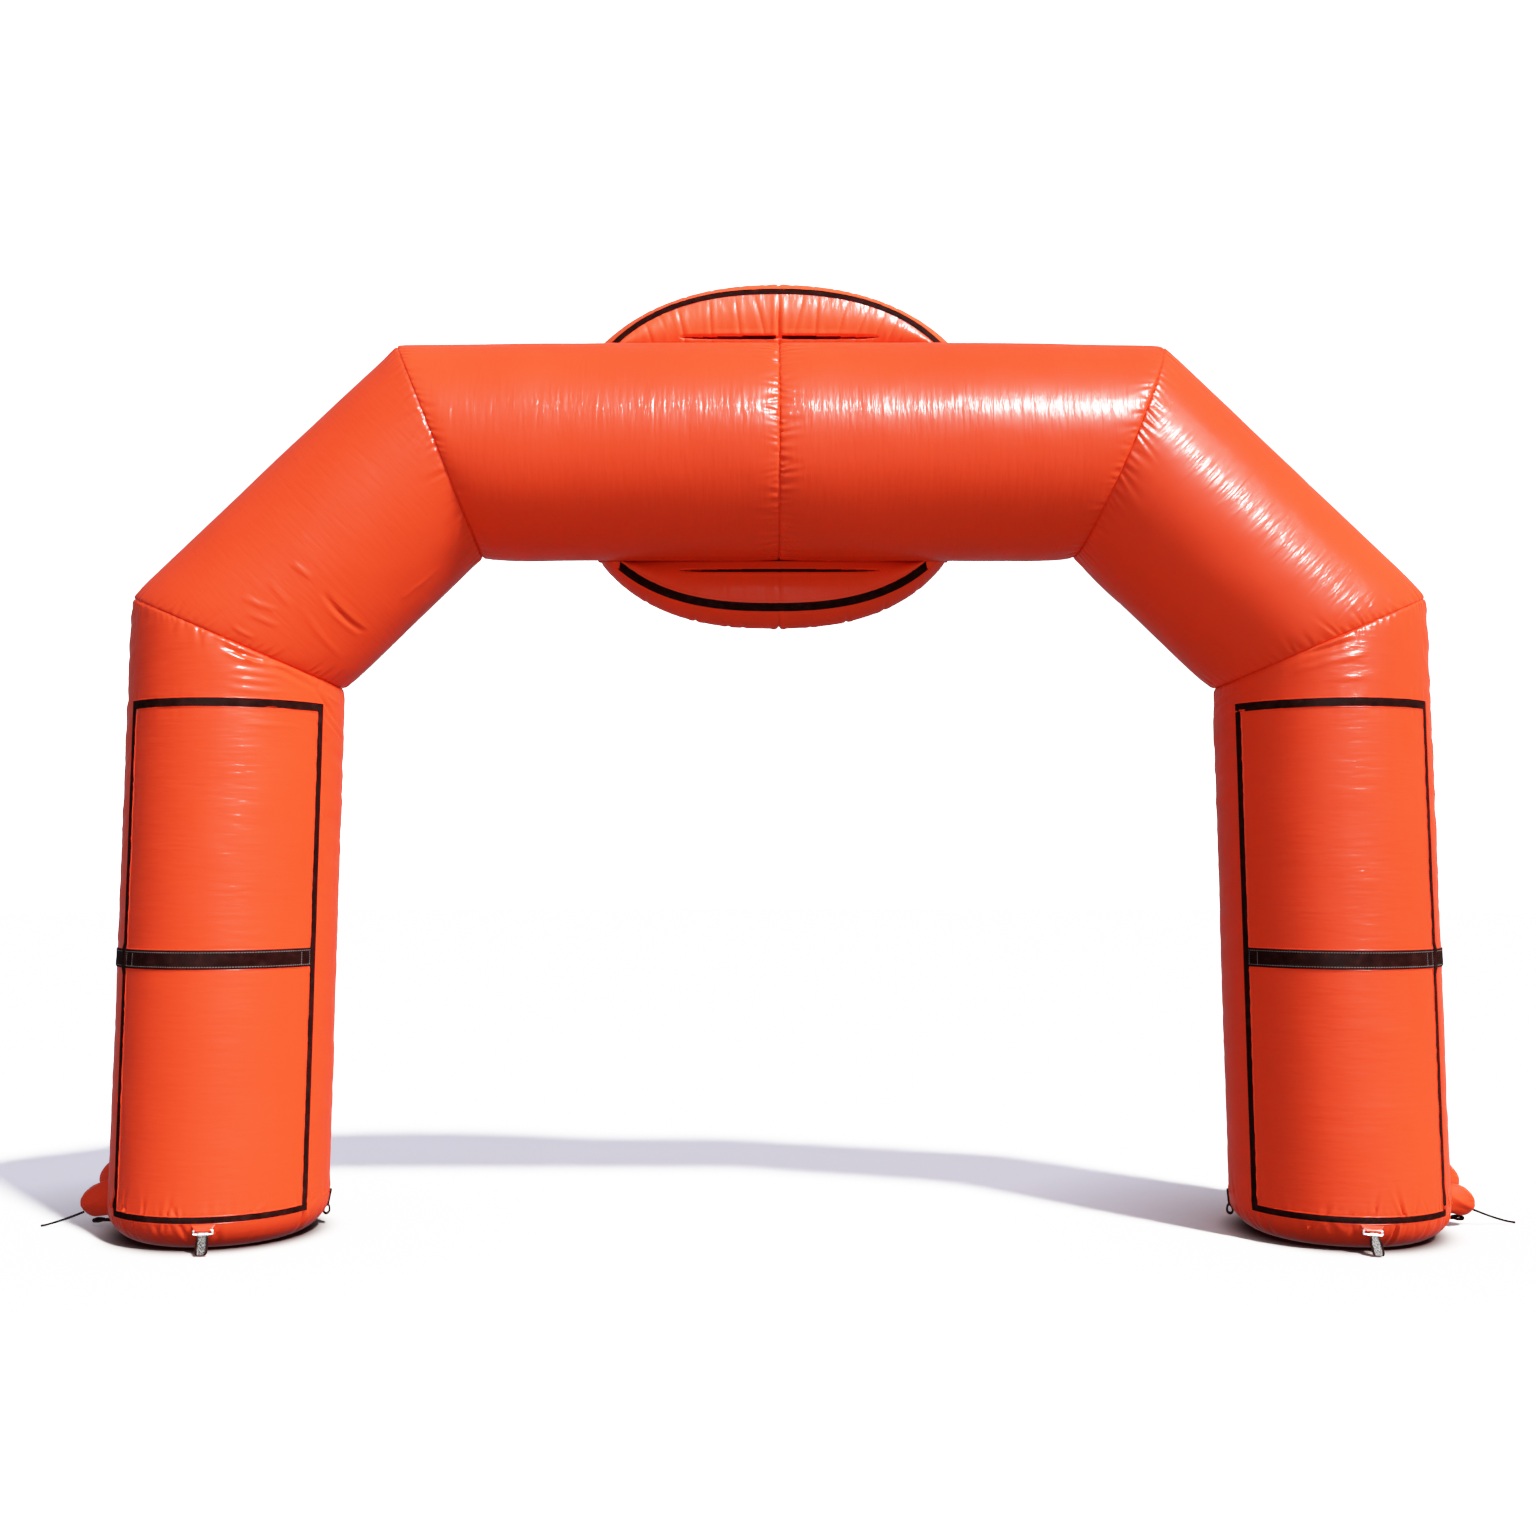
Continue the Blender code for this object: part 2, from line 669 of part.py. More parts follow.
def wire_ring(name, frame, roll):
    """The rectangular metal ring with rounded corners, standing in front of the base."""
    origin, outwards, around = frame
    up = Vector((0, 0, 1))
    middle = origin + outwards * RING_REACH + up * RING_LEVEL
    level_way = around * math.cos(roll) + up * math.sin(roll)
    steep_way = up * math.cos(roll) - around * math.sin(roll)
    corner = RING_WIRE
    path = []
    for across, rise, start in ((1, 1, 0), (-1, 1, 1), (-1, -1, 2), (1, -1, 3)):
        for step in range(3):
            angle = math.pi / 2 * (start + step / 2)
            flat = across * (RING_WIDTH / 2 - corner) + corner * math.cos(angle)
            steep = rise * (RING_HEIGHT / 2 - corner) + corner * math.sin(angle)
            path.append((flat, steep, angle))
    points = []
    for flat, steep, angle in path:
        away = level_way * math.cos(angle) + steep_way * math.sin(angle)
        centre = middle + level_way * flat + steep_way * steep
        for step in range(WIRE_SIDES):
            turn = math.tau * (step + 0.5) / WIRE_SIDES
            points.append(centre + (away * math.cos(turn) + outwards * math.sin(turn)) * RING_WIRE)
    faces = []
    for row in range(len(path)):
        following = (row + 1) % len(path)
        for step in range(WIRE_SIDES):
            beside = (step + 1) % WIRE_SIDES
            near, far = row * WIRE_SIDES, following * WIRE_SIDES
            faces.append((near + step, near + beside, far + beside, far + step))
    return make_object(name, points, faces, "metal")


def tree_of(thing):
    body = bmesh.new()
    body.from_mesh(thing.data)
    bmesh.ops.triangulate(body, faces=body.faces)
    tree = BVHTree.FromBMesh(body)
    body.free()
    return tree


def edge_points(mesh):
    """Points along every edge of a mesh, at most SAMPLE_STEP apart."""
    points = []
    for edge in mesh.edges:
        first, second = (mesh.vertices[index].co for index in edge.vertices)
        parts = max(math.ceil((second - first).length / SAMPLE_STEP), 1)
        points += [first.lerp(second, part / parts) for part in range(parts + 1)]
    return points


def move(thing, offset):
    for vertex in thing.data.vertices:
        vertex.co += offset


def seat(thing, carrier, way):
    """Moves a piece along way until it stands SEAT_GAP off the piece that carries it, and tells how far."""
    move(thing, -way * SEAT_START)
    carrier_tree = tree_of(carrier)
    thing_tree = tree_of(thing)
    hits = [carrier_tree.ray_cast(point, way)[3] for point in edge_points(thing.data)]
    hits += [thing_tree.ray_cast(point, -way)[3] for point in edge_points(carrier.data)]
    room = min(hit for hit in hits if hit is not None)
    move(thing, way * (room - SEAT_GAP))
    return way * (room - SEAT_GAP - SEAT_START)


def make_anchors():
    sides = dict(SIDES)
    eye = RING_WIRE + EYE_SPACE
    for name, degrees, roll, shift, swing, pinch in ANCHORS:
        frame = leg_frame(sides[name], degrees, RING_LEVEL)
        roll = math.radians(roll)
        ring = wire_ring(f"anchor_ring_{name}", frame, roll)
        upper = RING_LEVEL + RING_HEIGHT / 2
        lower = RING_LEVEL - RING_HEIGHT / 2

        def tab_width(level):
            share = min(max((level - upper) / (TAB_TOP[1] - upper), 0.0), 1.0)
            return TAB_EYE_WIDTH + (TAB_TOP_WIDTH - TAB_EYE_WIDTH) * share

        def strap_width(level):
            if level < STRAP_END[1] + WEBBING:
                return STRAP_WIDTH * STRAP_ROUNDING
            return STRAP_WIDTH * (pinch if level > STRAP_PINCH_LEVEL else 1.0)

        loops = eye_loops((RING_REACH, upper), TAB_TOP, eye)
        tab = profile_body(f"anchor_tab_{name}", loops, tab_width, frame, "cloth", roll)
        loops = eye_loops((RING_REACH, lower), STRAP_END, eye)
        slope = math.tan(math.radians(swing))
        strap = profile_body(f"anchor_strap_{name}", loops, strap_width, frame, "webbing", roll, shift, slope)
        travel = seat(tab, bpy.data.objects[f"leg_{name}"], -frame[1])
        move(ring, travel)
        move(strap, travel)


def make_loops():
    for name, hand, degrees, tail, middle, radius, length in LOOPS:
        frame = leg_frame(dict(SIDES)[hand], degrees, middle[1])
        loops = eye_loops(middle, tail, radius, length)
        thing = profile_body(f"{name}_{hand}", loops, lambda level: LOOP_WIDTH, frame, "webbing")
        seat(thing, bpy.data.objects[f"leg_{hand}"], -frame[1])


def lobe_rings(side, degrees, level, length, half_width, root_height, tip_height, fall):
    """Rings of a bulb that stands out from a leg, rounded at its tip."""
    origin, outwards, around = leg_frame(side, degrees, level)
    rings = []
    for share in LOBE_STATIONS:
        rounding = math.sqrt(1 - share**LOBE_ROUNDING)
        middle = origin + outwards * (LEG_RADIUS + length * share)
        middle += Vector((0, 0, level - fall * share))
        tall = (root_height + (tip_height - root_height) * share) * rounding
        wide = half_width * rounding * (1 - LOBE_TAPER * share)
        ring = []
        for step in range(LOBE_FACETS):
            angle = math.tau * step / LOBE_FACETS
            ring.append(middle + around * (wide * math.cos(angle)) + Vector((0, 0, tall * math.sin(angle))))
        rings.append(ring)
    return rings


def trim_to_leg(ring, outwards, leg_tree):
    """The ring carried inwards, each point onto the leg with a little room."""
    trimmed = []
    for point in ring:
        hit = leg_tree.ray_cast(point + outwards * LEG_RADIUS, -outwards)[0]
        trimmed.append(hit + outwards * ROOT_ROOM)
    return trimmed


def make_lobes():
    for name, hand, degrees, level, *sizes in LOBES:
        side = dict(SIDES)[hand]
        leg = bpy.data.objects[f"leg_{hand}"]
        leg_tree = tree_of(leg)
        outwards = leg_frame(side, degrees, level)[1]
        rings = lobe_rings(side, degrees, level, *sizes)
        root = trim_to_leg(rings[0], outwards, leg_tree)
        middle = sum(root, Vector()) / len(root)
        core = []
        for share in ROOT_SHARES:
            inner = [middle + (point - middle) * share for point in root]
            core.append(trim_to_leg(inner, outwards, leg_tree))
        thing = loft(f"{name}_{hand}", core[::-1] + [root] + rings[1:], "cloth")
        seat(thing, leg, -outwards)


def make_cords():
    for name, side in SIDES:
        route = CORD_ROUTES[name]
        curve = bpy.data.curves.new(f"drawcord_{name}", "CURVE")
        curve.dimensions = "3D"
        curve.bevel_depth = CORD_RADIUS
        curve.bevel_resolution = 2
        curve.use_fill_caps = True
        spline = curve.splines.new("POLY")
        spline.points.add(len(route) - 1)
        for point, (outwards, back, height) in zip(spline.points, route):
            point.co = ((LEG_FOOT_X + outwards) * side, back, height, 1.0)
        curve.materials.append(bpy.data.materials["webbing"])
        thing = bpy.data.objects.new(f"drawcord_{name}", curve)
        bpy.context.scene.collection.objects.link(thing)


def centre_box():
    for thing in bpy.context.scene.collection.objects:
        thing.location.y += BOX_SHIFT


def main():
    clear_scene()
    make_materials()
    make_tubes()
    make_frames()
    make_crests()
    make_anchors()
    make_loops()
    make_lobes()
    make_cords()
    centre_box()


main()
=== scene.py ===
"""Looks of the inflatable arch: fine air-filled cloth, woven tapes, fittings, light, floor and camera.

Metres, +Z up. The arch stands on Z = 0, its width runs along X and its front faces -Y. Angles round a tube
are counted from the front (0 degrees) over the outer side of the arch (90 degrees) to the back (180 degrees).
Each tube is worked out for the right half and mirrored for the left.
"""

import json
import math

import bpy
import numpy as np
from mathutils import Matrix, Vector

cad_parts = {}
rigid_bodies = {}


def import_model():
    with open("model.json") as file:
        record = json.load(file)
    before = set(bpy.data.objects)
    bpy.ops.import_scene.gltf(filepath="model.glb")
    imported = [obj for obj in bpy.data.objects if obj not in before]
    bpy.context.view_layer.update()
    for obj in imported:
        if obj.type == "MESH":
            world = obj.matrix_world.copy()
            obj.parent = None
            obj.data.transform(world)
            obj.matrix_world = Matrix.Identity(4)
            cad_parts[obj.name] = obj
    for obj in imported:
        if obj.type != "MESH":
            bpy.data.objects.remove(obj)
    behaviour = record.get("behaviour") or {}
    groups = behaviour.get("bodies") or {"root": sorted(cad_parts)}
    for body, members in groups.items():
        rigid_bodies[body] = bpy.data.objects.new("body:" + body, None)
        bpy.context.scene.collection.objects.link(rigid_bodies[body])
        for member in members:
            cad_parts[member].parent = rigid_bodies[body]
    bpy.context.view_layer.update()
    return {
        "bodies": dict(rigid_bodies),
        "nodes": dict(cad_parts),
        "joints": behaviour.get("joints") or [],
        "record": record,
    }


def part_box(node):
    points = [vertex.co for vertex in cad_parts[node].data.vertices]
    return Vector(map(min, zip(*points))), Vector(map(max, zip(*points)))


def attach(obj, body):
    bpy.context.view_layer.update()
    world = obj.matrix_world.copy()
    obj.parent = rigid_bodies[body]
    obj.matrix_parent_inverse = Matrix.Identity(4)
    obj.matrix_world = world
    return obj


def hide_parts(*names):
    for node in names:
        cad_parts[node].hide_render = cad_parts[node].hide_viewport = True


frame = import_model()

SIDES = {"left": -1, "right": 1}
BODY = "root"
AXIS_Y = 0.0190  # the tube axes stand this far behind the middle of the arch's box
SEAM_GAP = 0.0002
CONTACT = 0.0003  # room under a tape that lies on a tube

# Camera, worked out from the photograph's own lines
IMAGE = 1536
FOCAL = 1661.4  # in pixels of the image
SENSOR = 36.0
CAMERA_PLACE = (-0.0505, -7.599, 1.635)
CAMERA_PITCH = math.radians(3.426)

# Tubes, with the sizes of the solids
LEG_FOOT_X = 2.529
LEG_LEAN = math.radians(0.945)
LEG_RADIUS = 0.4760
KNEE_HEIGHT = 2.662
CORNER_X = 1.5716
CORNER_HEIGHT = 3.554
BEAM_RISE = 0.004
SHOULDERS = {"left": (0.4795, 0.037), "right": (0.4840, 0.0)}
TURN_REACH = 0.15
BEAM_RADIUS = 0.498
BEAM_END_RADIUS = 0.490
BEAM_SWELL = 0.45
KNEE_SEAM_RADIUS = 0.467
CORNER_SEAM_RADIUS = 0.479
CENTRE_SEAM_RADIUS = 0.489
SEAM_PINCH = 0.045
GROOVE_DEPTH = 0.005
GROOVE_REACH = 0.0045
RIM_RADIUS = 0.15
STRAIGHT_TOP = 2.20
TUBE_COLUMNS = 396
SLIDE_REACH = 0.02  # how far a tube's cloth follows its cutting plane
NEAR_SEAM = 0.006  # the folds fade out this close to a seam
FINE_STEP = 0.0045  # rows of the mesh beside a seam, and in the middle of a tube
COARSE_STEP = 0.013

# Tape frame on each leg
TAPE = 0.0025
FRAME_TURN = -9.1
FRAME_HALF = 56.5
SIDE_TAPE_WIDTH = 0.034
TOP_TAPE = (2.330, 2.368)
BOTTOM_TAPE = (0.126, 0.154)
BAND_LEVELS = (1.198, 1.280)
BAND = 0.005
BAND_HOP = 0.030

# Suns: name, power, width in degrees, the way it shines
KEYS = (
    ("soft_key", 6.2, 20, (-0.589, 0.494, -0.637)),
    ("floor_key", 8.5, 5, (-0.52, 0.58, -1.0)),
    ("glint", 40.0, 9, (-0.307, 0.760, -0.574)),
)
KEY_COLOR = (1.0, 0.98, 0.95)
# The studio's tones from straight below (0) to straight above (1)
WORLD_TONES = (
    (0.0, (0.11, 0.11, 0.12)),
    (0.30, (0.18, 0.18, 0.20)),
    (0.50, (0.20, 0.20, 0.22)),
    (0.68, (0.17, 0.17, 0.19)),
    (1.0, (0.20, 0.20, 0.22)),
)
# How the picture is developed: tones rise steeply and bend over towards the white level
CURVE_BEND = 2.3
CURVE_WHITE = 1.9
CURVE_POINTS = 13
FILL_POWER = 98.0
FILL_PLACE = (0.8, -7.5, 1.2)
FILL_SIZE = (7.0, 2.4)
FILL_TILT = math.radians(86)
FLOOR_DROP = -0.0006
FLOOR_COLOR = (0.95, 0.95, 0.96)
# The floor's own glow: painted light that lifts the tone of its shadows
FLOOR_GLOW = (0.265, 0.268, 0.355, 1)
# Near and far distance from a leg's foot, and there the light that the floor throws back and its own glow, both
# painted low near the foot as a painted contact shadow and painted shade
FLOOR_CONTACT_SHADOW = (0.36, 0.58, 0.0, 0.95)
FLOOR_SHADE = (0.50, 1.70, 0.0, 1.0)
CONTACT_SHADOW_TINT = (0.06, 0.013, 0.010)
STAGE_SIZE = 60.0
BACKDROP_GLOW = 1.95
DOME_LEVELS, DOME_SIDES = 9, 64

CLOTH_COLOR = (0.80, 0.033, 0.0080)
# A lighter copy of the cloth's colour for the upper crest: painted light for a face that gets less light
CREST_PAINTED_LIGHT_COLOR = (0.86, 0.055, 0.0145)
FOOT_SHADE = (0.0, 0.135, 0.22, 1.0)  # low and high level of the legs' painted foot shade, and the cloth's tone there
NOISE_RANGE = (0.3, 0.7)  # the part of a noise that a spread uses
LATTICE = 96
WHITE = (1.0, 1.0, 1.0)

CORD_RADIUS = 0.0055
# The drawcords' routes in a leg's own directions: outwards from the foot's axis, to the back, up
CORD_ROUTES = {
    "left": (
        (0.6496, 0.0890, 0.0629),
        (0.6727, 0.0855, 0.0540),
        (0.6958, 0.0820, 0.0450),
        (0.7189, 0.0785, 0.0370),
        (0.7421, 0.0750, 0.0290),
        (0.7652, 0.0715, 0.0220),
        (0.7883, 0.0680, 0.0155),
        (0.8114, 0.0645, 0.0095),
        (0.8345, 0.0610, 0.0060),
    ),
    "right": (
        (0.6431, 0.0890, 0.0740),
        (0.6696, 0.0945, 0.0635),
        (0.6961, 0.1000, 0.0530),
        (0.7226, 0.1050, 0.0430),
        (0.7491, 0.1105, 0.0335),
        (0.7755, 0.1160, 0.0250),
        (0.8020, 0.1215, 0.0170),
        (0.8285, 0.1265, 0.0105),
        (0.8550, 0.1320, 0.0060),
    ),
}


# Objects, meshes and noise


def add_object(name, data):
    thing = bpy.data.objects.new(name, data)
    bpy.context.scene.collection.objects.link(thing)
    return thing


def place_piece(thing, slot, *nodes, fill=None):
    """Says what a piece rides on and hides the solids it stands for. The slot and fill are not used."""
    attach(thing, BODY)
    if nodes:
        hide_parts(*nodes)


def volume(points, faces):
    """Six times the volume inside a closed mesh, below zero where its faces look inwards."""
    total = 0.0
    for size in (3, 4):
        corners = points[np.array([face for face in faces if len(face) == size], int).reshape(-1, size)]
        for step in range(2, size):
            total += (corners[:, 0] * np.cross(corners[:, step - 1], corners[:, step])).sum()
    return total


def mesh_object(name, points, faces, materials, sharp=50.0, closed=True):
    """A smooth mesh with sharp edges over an angle in degrees. The faces of a closed one are turned outwards."""
    points = np.asarray(points, float).reshape(-1, 3)
    if closed and volume(points, faces) < 0:
        faces = [face[::-1] for face in faces]
    mesh = bpy.data.meshes.new(name)
    mesh.from_pydata(points.tolist(), [], faces)
    for material in materials if isinstance(materials, (list, tuple)) else [materials]:
        mesh.materials.append(material)
    mesh.polygons.foreach_set("use_smooth", [True] * len(mesh.polygons))
    mesh.set_sharp_from_angle(angle=math.radians(sharp))
    mesh.update()
    return add_object(name, mesh)


def grid_faces(rows, columns):
    """Quads between closed rings of points that lie one after the other."""
    row = np.arange(rows - 1)[:, None] * columns
    column = np.arange(columns)[None, :]
    following = (column + 1) % columns
    quads = (row + column, row + following, row + columns + following, row + columns + column)
    return np.stack(quads, -1).reshape(-1, 4).tolist()


def closed_loft(name, rings, materials, sharp=50.0):
    """A body through closed rings (rows, columns, 3), with a fan of faces over each end."""
    rings = np.asarray(rings, float)
    rows, columns = rings.shape[:2]
    points = np.vstack((rings.reshape(-1, 3), rings[0].mean(0), rings[-1].mean(0)))
    faces = grid_faces(rows, columns)
    base, last = rows * columns, (rows - 1) * columns
    for column in range(columns):
        following = (column + 1) % columns
        faces += [(base, following, column), (base + 1, last + column, last + following)]
    return mesh_object(name, points, faces, materials, sharp)


def unit(vector):
    vector = np.asarray(vector, float)
    return vector / np.linalg.norm(vector)


def wide_angles(count):
    return np.arange(count) * math.tau / count


def wrapped(angle):
    return (angle + math.pi) % math.tau - math.pi


def eased(share):
    return share * share * (3 - 2 * share)


def smooth_step(value, low, high):
    return eased(np.clip((value - low) / (high - low), 0, 1))


def cell_noise(u, v, seed, wrap=None):
    """Smooth noise from -1 to 1 over cells of size one. It closes in u after wrap cells."""
    lattice = np.random.default_rng(seed).uniform(-1, 1, (LATTICE, LATTICE))
    u, v = np.broadcast_arrays(u, v)
    left, low = np.floor(u).astype(int), np.floor(v).astype(int)
    across, up = eased(u - left), eased(v - low)
    period = wrap or LATTICE
    right, left = (left + 1) % period % LATTICE, left % period % LATTICE
    high, low = (low + 1) % LATTICE, low % LATTICE
    bottom = lattice[left, low] * (1 - across) + lattice[right, low] * across
    top = lattice[left, high] * (1 - across) + lattice[right, high] * across
    return bottom * (1 - up) + top * up


# Camera and cords


def make_camera():
    data = bpy.data.cameras.new("camera")
    data.sensor_width = SENSOR
    data.lens = FOCAL / IMAGE * SENSOR
    data.clip_end = 200
    camera = add_object("camera", data)
    camera.location = CAMERA_PLACE
    camera.rotation_euler = (math.pi / 2 + CAMERA_PITCH, 0, 0)
    bpy.context.scene.camera = camera


def make_cords(material):
    cords = []
    for name, side in SIDES.items():
        route = [Vector(((LEG_FOOT_X + out) * side, back + AXIS_Y, up)) for out, back, up in CORD_ROUTES[name]]
        curve = bpy.data.curves.new(f"cord_{name}", "CURVE")
        curve.dimensions = "3D"
        curve.bevel_depth = CORD_RADIUS
        curve.bevel_resolution = 4
        curve.use_fill_caps = True
        spline = curve.splines.new("POLY")
        spline.points.add(len(route) - 1)
        for point, place in zip(spline.points, route):
            point.co = (*place, 1.0)
        curve.materials.append(material)
        thing = add_object(f"cord_{name}", curve)
        place_piece(thing, "webbing", f"drawcord_{name}")
        cords.append(thing)
    return cords


# Materials


def new_material(name, color, roughness, **inputs):
    material = bpy.data.materials.new(name)
    material.use_nodes = True
    material.diffuse_color = (*color, 1)
    shader = material.node_tree.nodes["Principled BSDF"]
    for key, value in {"Base_Color": (*color, 1), "Roughness": roughness, **inputs}.items():
        shader.inputs[key.replace("_", " ")].default_value = value
    return material, material.node_tree, shader


def add_node(tree, kind, **settings):
    node = tree.nodes.new(kind)
    for key, value in settings.items():
        if key in node.inputs:
            node.inputs[key].default_value = value
        else:
            setattr(node, key, value)
    return node


def feed(tree, node, **sources):
    """Links outputs to the node's inputs of these names."""
    for key, source in sources.items():
        tree.links.new(source, node.inputs[key.replace("_", " ")])
    return node


def own_place(tree):
    """The row's own metres."""
    return add_node(tree, "ShaderNodeTexCoord").outputs["Object"]


def stretched_noise(tree, scale, rotation=(0, 0, 0), detail=2.0, rough=0.5):
    """Noise over the row's own metres, stretched by a mapping. A single scale holds for every direction."""
    sizes = tuple(float(1 / part) for part in np.broadcast_to(scale, 3))
    mapping = add_node(tree, "ShaderNodeMapping", vector_type="TEXTURE", Rotation=rotation, Scale=sizes)
    noise = add_node(tree, "ShaderNodeTexNoise", Scale=1.0, Detail=detail, Roughness=rough)
    feed(tree, mapping, Vector=own_place(tree))
    return feed(tree, noise, Vector=mapping.outputs["Vector"]).outputs["Fac"]


def ramp(tree, value, stops):
    node = feed(tree, add_node(tree, "ShaderNodeValToRGB"), Fac=value)
    elements = node.color_ramp.elements
    while len(elements) < len(stops):
        elements.new(0.5)
    for element, (place, color) in zip(elements, stops):
        element.position = place
        element.color = (*color, 1)
    return node.outputs["Color"]


def map_range(tree, value, limits, **settings):
    """The value from the first two limits to the last two."""
    node = feed(tree, add_node(tree, "ShaderNodeMapRange", **settings), Value=value)
    for key, limit in zip(("From Min", "From Max", "To Min", "To Max"), limits):
        node.inputs[key].default_value = limit
    return node.outputs["Result"]


def bumped(tree, value, distance, **normal):
    node = add_node(tree, "ShaderNodeBump", Strength=1.0, Distance=distance)
    return feed(tree, node, Height=value, **normal).outputs["Normal"]


def cloth_material(name, slant, stretch=(48, 7, 7), color=CLOTH_COLOR):
    """Glossy coated cloth. Its fine wrinkles run round a tube that leans by slant from the X axis."""
    gloss = {"Specular_IOR_Level": 0.02, "Coat_Weight": 0.10, "Coat_Roughness": 0.20, "Coat_IOR": 1.45}
    material, tree, shader = new_material(name, color, 0.40, **gloss)
    low, high = (tuple(part * share for part in color) for share in (0.93, 1.07))
    tone = ramp(tree, stretched_noise(tree, 0.9), ((0.3, low), (0.5, color), (0.72, high)))
    # Painted shade: the legs' cloth is painted darker towards the floor, where the floor's occlusion would fall
    split = feed(tree, add_node(tree, "ShaderNodeSeparateXYZ"), Vector=own_place(tree))
    painted_foot_shade = add_node(tree, "ShaderNodeMix", data_type="RGBA", blend_type="MULTIPLY")
    painted_foot_shade.inputs[0].default_value = 1.0
    tree.links.new(tone, painted_foot_shade.inputs[6])
    tree.links.new(map_range(tree, split.outputs["Z"], FOOT_SHADE), painted_foot_shade.inputs[7])
    wipe = stretched_noise(tree, 7, detail=5, rough=0.6)
    hoops = stretched_noise(tree, stretch, (0, slant, 0), detail=3, rough=0.55)
    weave = stretched_noise(tree, 420, detail=1)
    broad = bumped(tree, stretched_noise(tree, 5), 0.0035)
    feed(
        tree,
        shader,
        Base_Color=painted_foot_shade.outputs[2],
        Roughness=map_range(tree, wipe, (*NOISE_RANGE, 0.34, 0.46)),
        Normal=bumped(tree, weave, 0.00018, Normal=bumped(tree, hoops, 0.0014, Normal=broad)),
        Coat_Normal=bumped(tree, hoops, 0.0040, Normal=broad),
    )
    return material


# name: colour, roughness, scale and detail of the grain, tones over it, range of roughness, relief in metres,
# other inputs
GRAINED = {
    "webbing": (
        (0.0110, 0.0026, 0.0021),
        0.60,
        24,
        4,
        ((0.35, (0.007, 0.0016, 0.0013)), (0.55, (0.011, 0.0026, 0.0021)), (0.8, (0.020, 0.006, 0.005))),
        (0.42, 0.62),
        None,
        {"Specular_IOR_Level": 0.003},
    ),
    # painted sheen: grey streaks that run down the middle of a strap
    "strap_sheen_webbing": (
        (0.12, 0.12, 0.12),
        0.5,
        (300, 300, 34),
        2,
        ((0.42, (0.004, 0.004, 0.004)), (0.52, (0.035, 0.034, 0.033)), (0.62, (0.16, 0.16, 0.155))),
        (0.3, 0.5),
        0.0006,
        {"Specular_IOR_Level": 0.03},
    ),
    # bright worn metal
    "chrome": (
        (0.80, 0.80, 0.82),
        0.22,
        140,
        3,
        ((0.36, (0.10, 0.09, 0.09)), (0.46, (0.75, 0.75, 0.76)), (0.6, (0.92, 0.92, 0.93))),
        (0.18, 0.32),
        0.0004,
        {"Metallic": 0.65},
    ),
}


def grained_material(name, color, roughness, scale, detail, tones, shine, relief, inputs):
    """A material whose tone, roughness and relief follow one fine grain."""
    material, tree, shader = new_material(name, color, roughness, **inputs)
    grain = stretched_noise(tree, scale, detail=detail)
    shine = map_range(tree, grain, (*NOISE_RANGE, *shine))
    feed(tree, shader, Base_Color=ramp(tree, grain, tones), Roughness=shine)
    if relief:
        feed(tree, shader, Normal=bumped(tree, grain, relief))
    return material


def plain_material(name, color, roughness, gloss):
    tones = ((0.3, tuple(part * 0.82 for part in color)), (0.7, color))
    shine = (roughness * 0.8, roughness * 1.25)
    return grained_material(name, color, roughness, 90, 4, tones, shine, 0.0002, {"Specular_IOR_Level": gloss})


def webbing_material():
    """Woven tape with a diagonal weave."""
    material = grained_material("webbing", *GRAINED["webbing"])
    tree = material.node_tree
    wave = add_node(tree, "ShaderNodeTexWave", Scale=150.0, Distortion=0.6, bands_direction="DIAGONAL")
    weave = bumped(tree, feed(tree, wave, Vector=own_place(tree)).outputs["Fac"], 0.0006)
    grain = stretched_noise(tree, 260)
    feed(tree, tree.nodes["Principled BSDF"], Normal=bumped(tree, grain, 0.0004, Normal=weave))
    return material


# Places in the photograph


def pixel_ray(x, y):
    """Direction of the camera's ray through a place in the image."""
    ahead = np.array((0, math.cos(CAMERA_PITCH), math.sin(CAMERA_PITCH)))
    up = np.array((0, -math.sin(CAMERA_PITCH), math.cos(CAMERA_PITCH)))
    right = np.array((1.0, 0, 0))
    return ahead + right * (x - IMAGE / 2) / FOCAL - up * (y - IMAGE / 2) / FOCAL


